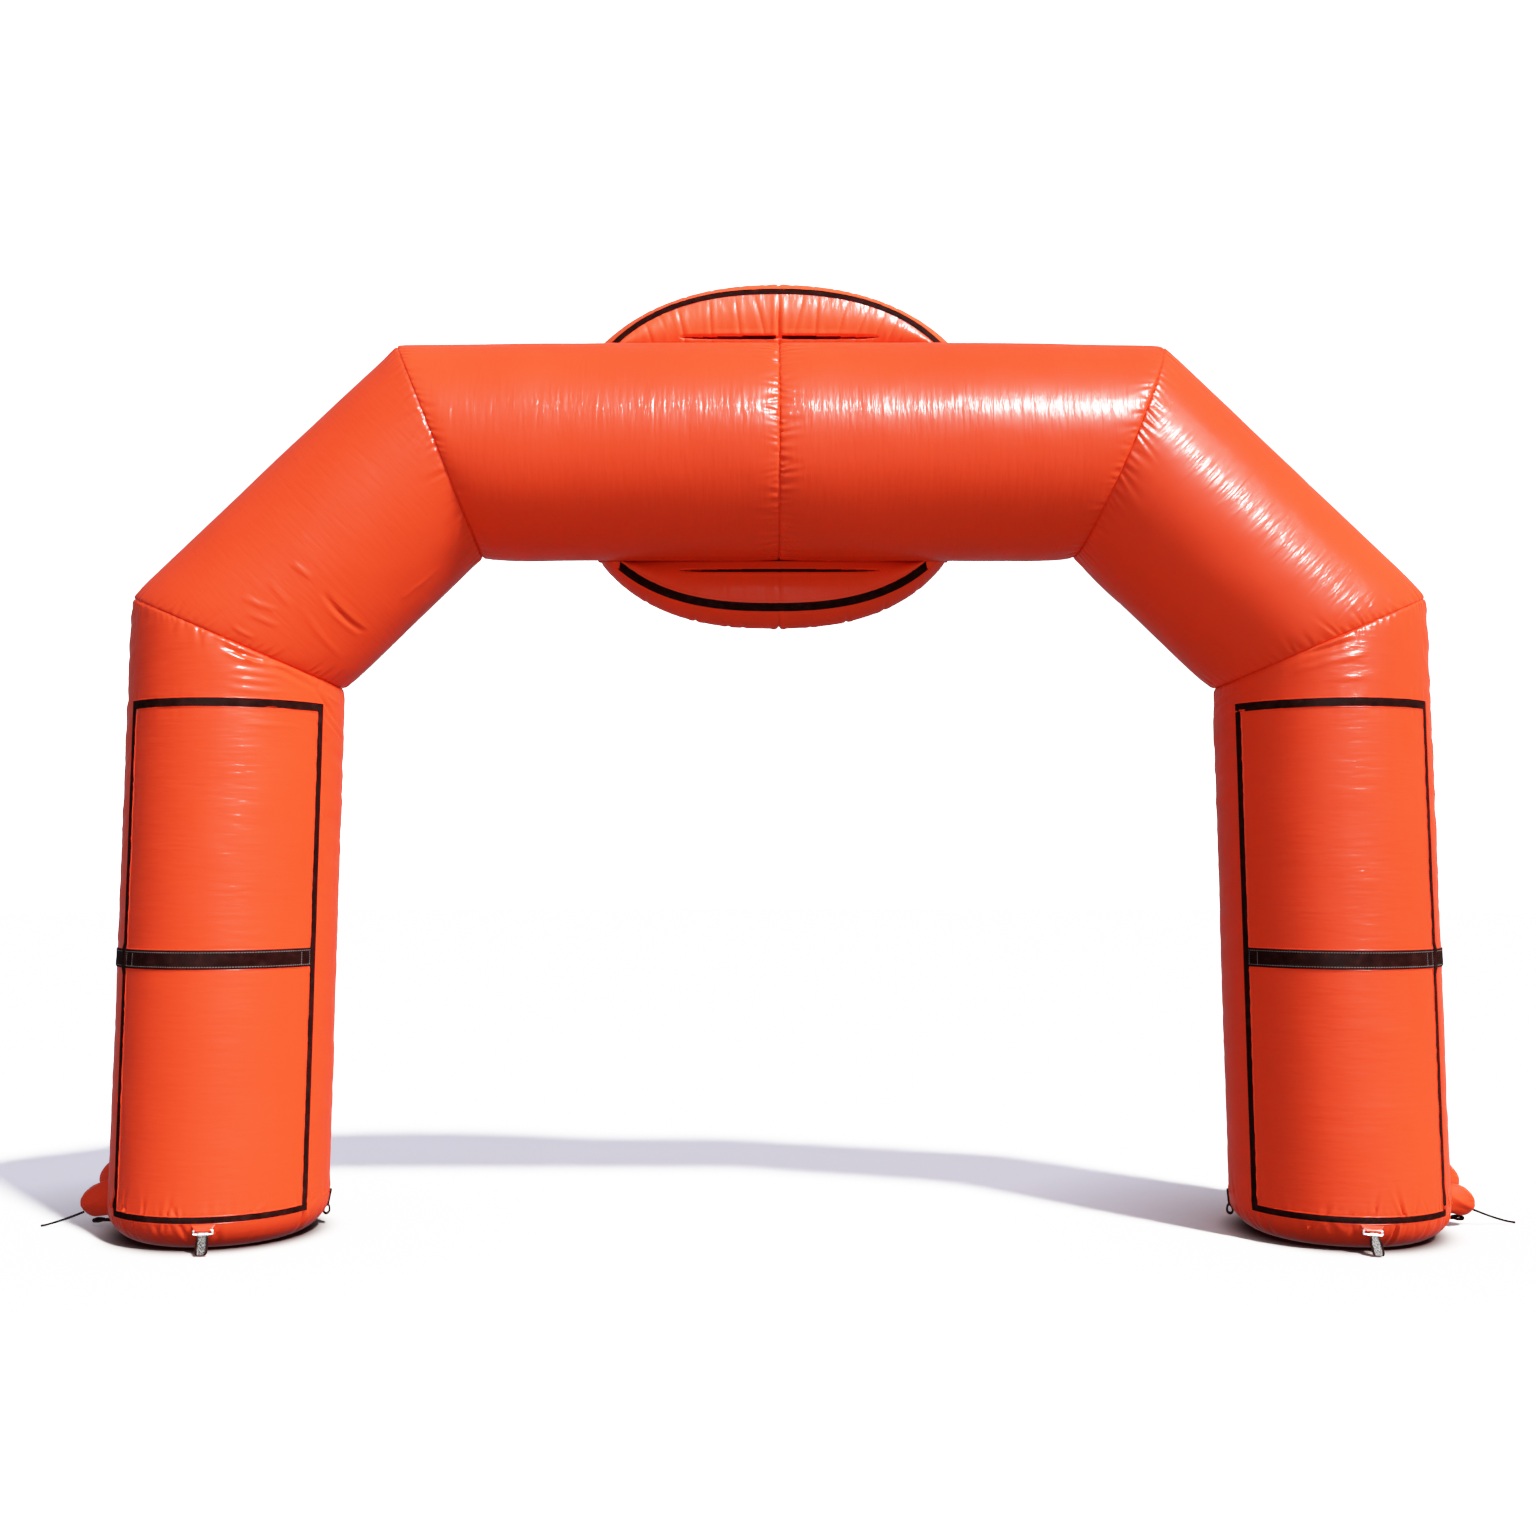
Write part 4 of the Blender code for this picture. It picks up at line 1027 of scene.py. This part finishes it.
def level_tape(name, side, first, last, levels, thickness, material):
    """A tape that runs round a leg between two angles, in degrees."""
    low, high = levels
    angles = np.radians(np.append(np.arange(first, last, TAPE_STEP), last))[:, None]
    across, up = np.array(TAPE_SECTION).T
    rings = leg_point(side, angles, (low + high) / 2 + (high - low) / 2 * across, CONTACT + thickness * up)
    return closed_loft(name, rings, material, sharp=60)


def upright_tape(name, side, middle, half_width, rows, thickness, material):
    """A tape that runs up a leg at an angle, through (level, extra lift) rows."""
    knots, lifts = zip(*rows)
    levels = np.unique(np.concatenate((np.arange(knots[0], knots[-1], TAPE_RISE), knots)))[:, None]
    across, up = np.array(TAPE_SECTION).T
    angles = math.radians(middle) + across * half_width / LEG_RADIUS
    rings = leg_point(side, angles, levels, CONTACT + np.interp(levels, knots, lifts) + thickness * up)
    return closed_loft(name, rings, material, sharp=60)


def sweep(name, centres, normals, radius, material, sides=8):
    """A closed round line through centres. The normals need only be roughly across it."""
    centres, normals = np.asarray(centres, float), np.asarray(normals, float)
    ways = np.roll(centres, -1, 0) - np.roll(centres, 1, 0)
    ways /= np.linalg.norm(ways, axis=1)[:, None]
    normals = normals - ways * (normals * ways).sum(1)[:, None]
    normals /= np.linalg.norm(normals, axis=1)[:, None]
    turns = wide_angles(sides)[None, :, None]
    across = np.cross(ways, normals)
    rings = centres[:, None] + radius * (normals[:, None] * np.cos(turns) + across[:, None] * np.sin(turns))
    faces = np.array(grid_faces(len(rings) + 1, sides)) % (len(rings) * sides)
    return mesh_object(name, rings, faces.tolist(), material)


def frame_line(side, inner, outer, low, high):
    """Points and outward ways along a rectangle on a leg, closed."""
    corners = [(inner, low), (outer, low), (outer, high), (inner, high), (inner, low)]
    turns, levels = [], []
    for (a0, l0), (a1, l1) in zip(corners, corners[1:]):
        length = math.hypot(math.radians(a1 - a0) * LEG_RADIUS, l1 - l0)
        shares = np.arange(0, 1, WELT_STEP / length)
        turns += list(np.radians(a0 + (a1 - a0) * shares))
        levels += list(l0 + (l1 - l0) * shares)
    turns = np.array(turns)
    points = leg_point(side, turns, np.array(levels), WELT_LIFT)
    return points, np.stack((np.sin(turns) * side, -np.cos(turns), 0 * turns), -1)


STITCH_WIDTH = 0.0032
STITCH_RISE = 0.0010
STITCH_PITCH = 0.0115
STITCH_LENGTH = 0.0080
CROSS_STITCH = (0.0095, 0.0072)  # pitch and length of the stitches up the strap
WELT_RADIUS = 0.0024
WELT_SINK = 0.8 * WELT_RADIUS
WELT_STEP = 0.016
WELT_LIFT = 0.0004
# A stitch: share of its half length, share of its rise, share of its half width
STITCH_POINTS = ((-1, 0, -1), (-1, 0, 1), (-0.7, 1, 0), (0.7, 1, 0), (1, 0, -1), (1, 0, 1))
STITCH_FACES = ((0, 2, 3, 4), (1, 5, 3, 2), (0, 1, 2), (4, 3, 5), (0, 4, 5, 1))


def stitches(side, angles, levels, lift, length, upright=False):
    """Stitches at angles (radians) and levels on a leg, as points and faces."""
    long, rise, wide = np.array(STITCH_POINTS, float).T
    angles, levels = np.broadcast_arrays(angles, levels)
    run, cross = long * length / 2, wide * STITCH_WIDTH / 2
    if upright:
        run, cross = cross, run
    turns, rises = angles[:, None] + run / LEG_RADIUS, levels[:, None] + cross
    points = leg_point(side, turns, rises, lift + STITCH_RISE * rise)
    faces = []
    for start in range(0, len(angles) * len(STITCH_POINTS), len(STITCH_POINTS)):
        for corners in STITCH_FACES:
            face = tuple(start + index for index in corners)
            faces.append(face[::-1] if upright else face)
    return points.reshape(-1, 3), faces


def joined(name, parts, material):
    points, faces = [], []
    for more_points, more_faces in parts:
        start = len(points)
        points += list(more_points)
        faces += [tuple(start + index for index in face) for face in more_faces]
    return mesh_object(name, points, faces, material, sharp=30)


def make_frames(webbing, thread, cloth):
    half_width = SIDE_TAPE_WIDTH / 2
    half_tape = math.degrees(half_width / LEG_RADIUS)
    sliver = math.degrees(0.0008 / LEG_RADIUS)
    rim = math.degrees(WELT_SINK / LEG_RADIUS)
    inner_mid, outer_mid = FRAME_TURN - FRAME_HALF, FRAME_TURN + FRAME_HALF
    inside = (inner_mid + half_tape + sliver, outer_mid - half_tape - sliver)
    back_end = 180 - inner_mid
    on_band = BAND + CONTACT
    low, high = BAND_LEVELS
    plain = ((BOTTOM_TAPE[0], 0.0), (TOP_TAPE[1], 0.0))
    over = ((low - BAND_HOP, 0.0), (low - TAPE, on_band), (high + TAPE, on_band), (high + BAND_HOP, 0.0))
    hop = (plain[0], *over, plain[1])
    within = (inside[0] + rim, inside[1] - rim)
    # name, angles, levels, and whether the line lies outside (1) or inside (-1) of them
    lines = (
        ("outside", inner_mid - half_tape - rim, outer_mid + half_tape + rim, BOTTOM_TAPE[0], TOP_TAPE[1], 1),
        ("inside_low", *within, BOTTOM_TAPE[1], low, -1),
        ("inside_high", *within, high, TOP_TAPE[0], -1),
    )
    for name, side in SIDES.items():
        for place, middle, rows in (("inner", inner_mid, plain), ("outer", outer_mid, hop)):
            thing = upright_tape(f"webbing_{place}_{name}", side, middle, half_width, rows, TAPE, webbing)
            place_piece(thing, "webbing", f"tape_{place}_{name}")
        for place, levels in (("top", TOP_TAPE), ("bottom", BOTTOM_TAPE)):
            thing = level_tape(f"webbing_{place}_{name}", side, *inside, levels, TAPE, webbing)
            place_piece(thing, "webbing", f"tape_{place}_{name}")
        thing = level_tape(f"strap_{name}", side, inside[0], back_end, BAND_LEVELS, BAND, webbing)
        place_piece(thing, "webbing", f"band_{name}")
        lift = CONTACT + BAND * 0.98
        parts = []
        for level in (low + 0.010, high - 0.010):
            for first, last in (inside, (outer_mid + half_tape + 1, back_end)):
                turns = np.arange(math.radians(first), math.radians(last), STITCH_PITCH / LEG_RADIUS)
                parts.append(stitches(side, turns + STITCH_PITCH / 2 / LEG_RADIUS, level, lift, STITCH_LENGTH))
        for angle in (inside[0] + 0.8, inside[0] + 6.5, inside[1] - 6.5, inside[1] - 0.8, back_end - 1.5):
            rises = np.arange(low + 0.015, high - 0.012, CROSS_STITCH[0])
            parts.append(stitches(side, math.radians(angle), rises, lift, CROSS_STITCH[1], upright=True))
        place_piece(joined(f"stitching_{name}", parts, thread), "webbing")
        for place, first, last, bottom, top, way in lines:
            points, ways = frame_line(side, first, last, bottom - WELT_SINK * way, top + WELT_SINK * way)
            place_piece(sweep(f"welt_{place}_{name}", points, ways, WELT_RADIUS, cloth), "cloth")


# Fittings on the base

# Front anchors: side, degrees from the front, roll, shift of the strap, its swing, share of width at the ring
ANCHORS = (
    ("left", -10.0, 0.0, -0.001, 0.0, 0.90),
    ("right", -2.3, -4.0, 0.004, 7.5, 0.62),
)
RING_WIDTH = 0.079
RING_HEIGHT = 0.017
RING_WIRE = 0.0040
RING_CORNER = 0.0040
RING_REACH = 0.492
RING_LEVEL = 0.093
WEBBING = 0.0025
TAB_WIDTHS = (0.066, 0.096)  # at the ring and at the leg
TAB_TOP = (0.4780, 0.1195)
STRAP_WIDTH = 0.053
STRAP_END = (0.537, 0.0075)
# Webbing loops: name, side, degrees, end of the tail, middle of the loop, its inner radius, length added
LOOPS = (
    ("side_loop", "left", -107.0, (0.4820, 0.158), (0.4630, 0.0600), 0.0115, 0.015),
    ("side_loop", "right", -107.0, (0.4900, 0.158), (0.4810, 0.0600), 0.0115, 0.015),
    ("sleeve_loop", "left", 99.0, (0.4300, 0.034), (0.6180, 0.0255), 0.0050, 0.035),
    ("sleeve_loop", "right", 99.0, (0.4300, 0.042), (0.6020, 0.0365), 0.0065, 0.035),
)
LOOP_WIDTH = 0.026
LOOP_THICKNESS = 0.0090
# Air sleeve and the fold behind it: name, side, degrees, level, length, half width, half height at the
# root and at the tip, fall to the tip, how flat its facets are, fill
LOBES = (
    ("sleeve", "left", 98.0, 0.142, 0.199, 0.070, 0.096, 0.075, 0.036, 0.75, 0.6),
    ("sleeve", "right", 98.0, 0.140, 0.185, 0.070, 0.070, 0.080, 0.035, 0.75, 0.7),
    ("sleeve_fold", "left", 113.5, 0.220, 0.246, 0.046, 0.115, 0.085, 0.045, 0.35, 0.4),
    ("sleeve_fold", "right", 113.5, 0.212, 0.2534, 0.046, 0.112, 0.085, 0.045, 0.35, 0.4),
)
LOBE_COLUMNS = 96
LOBE_SIDES = 6
RIDGE_TURN = (28.0, -34.0)  # degrees of a lobe's front ridge at the root and at the tip
LOBE_ROOM = 0.0012
# A ribbon's section from its edge to its middle: share of its half width, share of its half thickness
RIBBON_FACE = mirrored(((-1.0, 0.5), (-0.94, 1.0), (-0.72, 1.0), (-0.60, 0.85), (-0.3, 0.95), (0.0, 0.85)))
RIBBON_SECTION = RIBBON_FACE + tuple((-across, -thick) for across, thick in RIBBON_FACE)
# Where a strap takes other looks: rows round the ring with bright metal on them, and columns with a painted grey
# sheen
RING_ROWS = (12, 39)
STRAP_SHEEN_COLUMNS = (3, 4, 5, 6, 14, 15, 16, 17)
UP = np.array((0, 0, 1.0))


def leg_frame(side, degrees, level):
    """Origin on a leg's axis at the floor, and the directions outwards and round the leg."""
    angle = math.radians(degrees)
    outwards = np.array((math.sin(angle) * side, -math.cos(angle), 0))
    return np.array((leg_axis_x(level) * side, AXIS_Y, 0)), outwards, np.cross(UP, outwards)


def rolled(around, roll):
    """The level and the steep direction across a fitting, turned by roll."""
    return around * math.cos(roll) + UP * math.sin(roll), UP * math.cos(roll) - around * math.sin(roll)


def eye_path(middle, tail_end, radius, length=0.0, steps=30):
    """Middle line of a doubled webbing in side view: down a tail, round an eye and back up."""
    middle, tail_end = np.array(middle), np.array(tail_end)
    way = unit(tail_end - middle)
    across = np.array((-way[1], way[0]))
    apart = WEBBING / 2 + 0.0001
    size = radius + WEBBING / 2
    start = math.asin(apart / size)
    turns = np.linspace(start, math.tau - start, steps)
    stretch = length * ((1 + np.cos(turns)) / 2) ** 2
    eye = middle + way * (np.cos(turns) * size + stretch)[:, None] + across * (np.sin(turns) * size)[:, None]
    shares = np.linspace(0, 1, 12)[:-1, None]
    tails = [tail_end + across * apart * hand for hand in (1, -1)]
    down = tails[0] + (eye[0] - tails[0]) * shares
    back = (tails[1] + (eye[-1] - tails[1]) * shares)[::-1]
    return np.vstack((down, eye, back))


def ribbon(name, path, width, frame, materials, roll=0.0, shift=0.0, swing=0.0, bow=None, thickness=WEBBING):
    """A flat band along a side-view path of (outwards, up). The width is a function of the level."""
    origin, outwards, around = frame
    level_way, steep_way = rolled(around, roll)
    way = np.gradient(path, axis=0)
    way /= np.linalg.norm(way, axis=1)[:, None]
    across, thick = np.array(RIBBON_SECTION).T
    u = path[:, :1] - way[:, 1:] * thick * thickness / 2
    rise = path[:, 1:] + way[:, :1] * thick * thickness / 2 - RING_LEVEL
    aside = shift - swing * rise + across * width(path[:, 1:]) / 2
    if bow:
        u = u + bow(path[:, 1:], across)
    points = origin + outwards * u[..., None] + UP * RING_LEVEL
    points = points + steep_way * rise[..., None] + level_way * aside[..., None]
    return closed_loft(name, points, materials, sharp=60)


def make_anchors(cloth, webbing, strap_sheen, metal):
    upper, lower = RING_LEVEL + RING_HEIGHT / 2, RING_LEVEL - RING_HEIGHT / 2
    half_wide, half_tall = RING_WIDTH / 2 - RING_CORNER, RING_HEIGHT / 2 - RING_CORNER
    eye = RING_WIRE + 0.0006

    def tab_width(level):
        share = np.clip((level - upper) / (TAB_TOP[1] - upper), 0, 1)
        return TAB_WIDTHS[0] + (TAB_WIDTHS[1] - TAB_WIDTHS[0]) * share

    def crumple(level, across):
        share = np.clip((lower - level) / 0.07, 0, 1)
        return 0.0012 * np.sin(across * 5.0 + level * 160) * np.sin(math.pi * share)

    for name, degrees, roll, shift, swing, pinch in ANCHORS:
        origin, outwards, around = leg_frame(SIDES[name], degrees, RING_LEVEL)
        roll = math.radians(roll)
        middle = np.mean(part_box(f"anchor_ring_{name}"), axis=0)
        frame = (origin + outwards * ((middle - origin) @ outwards - RING_REACH), outwards, around)
        level_way, steep_way = rolled(around, roll)
        centres = []
        for quarter, (across, rise) in enumerate(((1, 1), (-1, 1), (-1, -1), (1, -1))):
            for angle in math.pi / 2 * (quarter + np.arange(8) / 7):
                flat = across * half_wide + RING_CORNER * math.cos(angle)
                steep = rise * half_tall + RING_CORNER * math.sin(angle)
                centres.append(middle + level_way * flat + steep_way * steep)
        thing = sweep(f"ring_{name}", centres, [outwards] * len(centres), RING_WIRE, metal, sides=14)
        place_piece(thing, "metal", f"anchor_ring_{name}")

        def strap_width(level):
            tight = pinch + (1 - pinch) * smooth_step(lower - level, 0.0, 0.034)
            rounded = np.clip(1 - ((STRAP_END[1] + 0.012 - level) / 0.015).clip(0, 1) ** 2 * 0.35, 0.3, 1)
            return STRAP_WIDTH * tight * rounded

        thing = ribbon(f"tab_{name}", eye_path((RING_REACH, upper), TAB_TOP, eye), tab_width, frame, cloth, roll)
        place_piece(thing, "cloth", f"anchor_tab_{name}")
        slope = math.tan(math.radians(swing))
        path = eye_path((RING_REACH, lower), STRAP_END, eye)
        looks = [webbing, strap_sheen, metal]
        thing = ribbon(f"hanger_{name}", path, strap_width, frame, looks, roll, shift, slope, crumple)
        for face in range((len(path) - 1) * len(RIBBON_SECTION)):
            row, column = divmod(face, len(RIBBON_SECTION))
            # Columns down the strap's middle take the painted sheen
            look = 2 if RING_ROWS[0] <= row <= RING_ROWS[1] else int(column in STRAP_SHEEN_COLUMNS)
            thing.data.polygons[face].material_index = look
        place_piece(thing, "webbing", f"anchor_strap_{name}")


def loop_width(level):
    return LOOP_WIDTH + 0 * level


def make_loops(webbing):
    for name, hand, degrees, tail, middle, radius, length in LOOPS:
        frame = leg_frame(SIDES[hand], degrees, middle[1])
        path = eye_path(middle, tail, radius, length)
        thing = ribbon(f"{name}_webbing_{hand}", path, loop_width, frame, webbing, thickness=LOOP_THICKNESS)
        places = np.array([vertex.co for vertex in thing.data.vertices])
        off = np.mean(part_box(f"{name}_{hand}"), axis=0) - (places.min(0) + places.max(0)) / 2
        for vertex in thing.data.vertices:
            vertex.co += Vector(frame[1] * (off @ frame[1]))
        place_piece(thing, "webbing", f"{name}_{hand}")


def make_lobes(cloth):
    turns = wide_angles(LOBE_COLUMNS)[None, :]
    shares = np.concatenate(((0.0,), np.linspace(0.01, 0.86, 44), 1 - np.geomspace(0.125, 0.006, 16)))[:, None]
    rounding = np.sqrt(1 - shares**4)
    ridge = np.radians(RIDGE_TURN[0] + (RIDGE_TURN[1] - RIDGE_TURN[0]) * shares)
    part = math.tau / LOBE_SIDES
    facet = math.cos(part / 2) / np.cos((turns - ridge) % part - part / 2)
    for name, hand, degrees, level, length, half_width, root, tip, fall, flat, fill in LOBES:
        side = SIDES[hand]
        seed = 300 + 10 * (name == "sleeve") + side
        origin, outwards, around = leg_frame(side, degrees, level)

        def placed(aside, out, up):
            return origin - around * side * aside[..., None] + outwards * out[..., None] + UP * up[..., None]

        dents = np.abs(cell_noise(turns / math.tau * 13, shares * 3.2, seed, 13))
        gather = np.abs(np.sin(turns * 8 + 2 * cell_noise(turns / math.tau * 7, 0.5, seed, 7)))
        size = 1 - flat * (1 - facet) + 0.035 * flat - 0.05 * dents * smooth_step(shares, 0, 0.2)
        size = size - 0.10 * (1 - gather**0.7) * smooth_step(shares, 0.55, 1.0)
        size = size - 0.06 * (1 - gather**0.6) * (1 - smooth_step(shares, 0.0, 0.25))
        a = half_width * rounding * (1 - 0.15 * shares) * np.cos(turns) * size
        z = level - fall * shares + (root + (tip - root) * shares) * rounding * np.sin(turns) * size
        surface = np.sqrt(np.clip(rim_radius(z) ** 2 - a**2, 0.01, None)) + LOBE_ROOM
        blend = 1 - smooth_step(shares, 0.0, 0.2)
        out = np.maximum(LEG_RADIUS + length * shares - (LEG_RADIUS - surface) * blend, surface)
        core = np.array((0.15, 0.4, 0.7))[:, None]
        core_a, core_z = a[0] * core, level + (z[0] - level) * core
        bed = np.sqrt(rim_radius(core_z) ** 2 - core_a**2) + LOBE_ROOM
        rings = np.concatenate((placed(core_a, bed, core_z), placed(a, out, z)))
        thing = closed_loft(f"{name}_cloth_{hand}", rings, cloth, sharp=70)
        place_piece(thing, "cloth", f"{name}_{hand}", fill=fill)


# Stage and light


def make_stage():
    """Pale floor with a painted contact shadow round each foot and a glow that paints light into its shadows and
    fades to painted shade near the feet, and a white backdrop that only the camera sees.
    """
    material, tree, shader = new_material("floor", FLOOR_COLOR, 1.0, Metallic=1.0, Emission_Color=FLOOR_GLOW)
    nearest = add_node(tree, "ShaderNodeMath", operation="MINIMUM")
    for index, side in enumerate(SIDES.values()):
        near = add_node(tree, "ShaderNodeVectorMath", operation="DISTANCE")
        near.inputs[1].default_value = (LEG_FOOT_X * side, AXIS_Y, 0)
        tree.links.new(own_place(tree), near.inputs[0])
        tree.links.new(near.outputs["Value"], nearest.inputs[index])
    distance = nearest.outputs["Value"]
    # Painted contact shadow and painted shade round each leg's foot
    contact_shadow = map_range(tree, distance, FLOOR_CONTACT_SHADOW, interpolation_type="SMOOTHERSTEP")
    painted_shadow_tint = ramp(tree, contact_shadow, ((0.0, CONTACT_SHADOW_TINT), (1.0, WHITE)))
    feed(tree, shader, Base_Color=painted_shadow_tint, Emission_Strength=map_range(tree, distance, FLOOR_SHADE))
    corners = [(x * STAGE_SIZE, y * STAGE_SIZE, FLOOR_DROP) for x, y in ((-1, -1), (1, -1), (1, 1), (-1, 1))]
    floor = mesh_object("floor", corners, [(0, 1, 2, 3)], material, closed=False)
    glow = {"Emission_Color": (*WHITE, 1), "Emission_Strength": BACKDROP_GLOW}
    white = new_material("backdrop", (0.9, 0.9, 0.9), 1.0, **glow)[0]
    lean = (math.pi / 2 * np.arange(DOME_LEVELS) / (DOME_LEVELS - 1))[:, None]
    turns = wide_angles(DOME_SIDES)
    dome = STAGE_SIZE * np.stack(
        (np.cos(lean) * np.cos(turns), np.cos(lean) * np.sin(turns), np.sin(lean) + 0 * turns), -1
    )
    backdrop = mesh_object("backdrop", dome, grid_faces(DOME_LEVELS, DOME_SIDES), white, closed=False)
    backdrop.visible_shadow = False
    for thing in (floor, backdrop):
        thing.visible_diffuse = False
        thing.visible_glossy = False
    return floor


def develop(view):
    """Tones of the picture, with a soft bend towards white."""
    view.view_transform = "Standard"
    view.use_curve_mapping = True
    mapping = view.curve_mapping
    mapping.white_level = (CURVE_WHITE,) * 3
    curve = mapping.curves[3]
    while len(curve.points) < CURVE_POINTS:
        curve.points.new(0.5, 0.5)
    full = math.expm1(-CURVE_BEND * CURVE_WHITE)
    for index, point in enumerate(curve.points):
        share = (index / (CURVE_POINTS - 1)) ** 2
        point.location = (share, math.expm1(-CURVE_BEND * CURVE_WHITE * share) / full)
    mapping.update()


def make_world():
    world = bpy.data.worlds.new("studio")
    bpy.context.scene.world = world
    world.use_nodes = True
    tree = world.node_tree
    way = add_node(tree, "ShaderNodeTexCoord").outputs["Generated"]
    split = feed(tree, add_node(tree, "ShaderNodeSeparateXYZ"), Vector=way)
    level = map_range(tree, split.outputs["Z"], (-1, 1, 0, 1))
    feed(tree, tree.nodes["Background"], Color=ramp(tree, level, WORLD_TONES))


def make_light(floor, cords):
    """The floor's sun shines on the floor alone, and the glint shines on all but the floor and the cords."""
    for name, power, width, way in KEYS:
        sun = bpy.data.lights.new(name, "SUN")
        sun.energy = power
        sun.angle = math.radians(width)
        sun.color = KEY_COLOR
        lamp = add_object(name, sun)
        lamp.rotation_euler = Vector(way).to_track_quat("-Z", "Y").to_euler()
        lamp.visible_diffuse = name == "soft_key"
        lamp.visible_glossy = not lamp.visible_diffuse
        if lamp.visible_glossy:
            reached = bpy.data.collections.new(f"{name}_reach")
            for thing in (floor, *cords) if name == "glint" else (floor,):
                reached.objects.link(thing)
            for entry in reached.collection_objects:
                entry.light_linking.link_state = "EXCLUDE" if name == "glint" else "INCLUDE"
            lamp.light_linking.receiver_collection = reached
    panel = bpy.data.lights.new("fill", "AREA")
    panel.shape = "RECTANGLE"
    panel.size, panel.size_y = FILL_SIZE
    panel.energy = FILL_POWER
    lamp = add_object("fill", panel)
    lamp.location = FILL_PLACE
    lamp.rotation_euler = (FILL_TILT, 0, 0)
    lamp.visible_glossy = False


def main():
    make_camera()
    webbing = webbing_material()
    metal = grained_material("chrome", *GRAINED["chrome"])
    slant = math.atan2(CORNER_HEIGHT - KNEE_HEIGHT, leg_axis_x(KNEE_HEIGHT) - CORNER_X)
    cloth = {
        "leg": cloth_material("cloth_leg", math.pi / 2),
        "shoulder_left": cloth_material("cloth_shoulder_left", -slant),
        "shoulder_right": cloth_material("cloth_shoulder_right", slant),
        "beam_left": cloth_material("cloth_beam", 0.0),
    }
    cloth["beam_right"] = cloth["beam_left"]
    cords = make_cords(plain_material("cord", (0.007, 0.005, 0.005), 0.6, 0.1))
    make_tubes(cloth)
    # The upper crest takes a lighter copy of the cloth, as painted light
    crest_cloth = {"upper": cloth_material("cloth_crest_painted_light", 0.0, (30, 8, 8), CREST_PAINTED_LIGHT_COLOR), "lower": cloth["beam_left"]}
    make_crests(crest_cloth, plain_material("tuck_shade", (0.05, 0.004, 0.002), 0.8, 0.0), webbing)
    make_frames(webbing, plain_material("thread", (0.10, 0.09, 0.09), 0.5, 0.02), cloth["leg"])
    strap_sheen = grained_material("strap_sheen_webbing", *GRAINED["strap_sheen_webbing"])
    make_anchors(cloth["leg"], webbing, strap_sheen, metal)
    make_loops(webbing)
    make_lobes(cloth["leg"])
    develop(bpy.context.scene.view_settings)
    make_world()
    make_light(make_stage(), cords)


main()
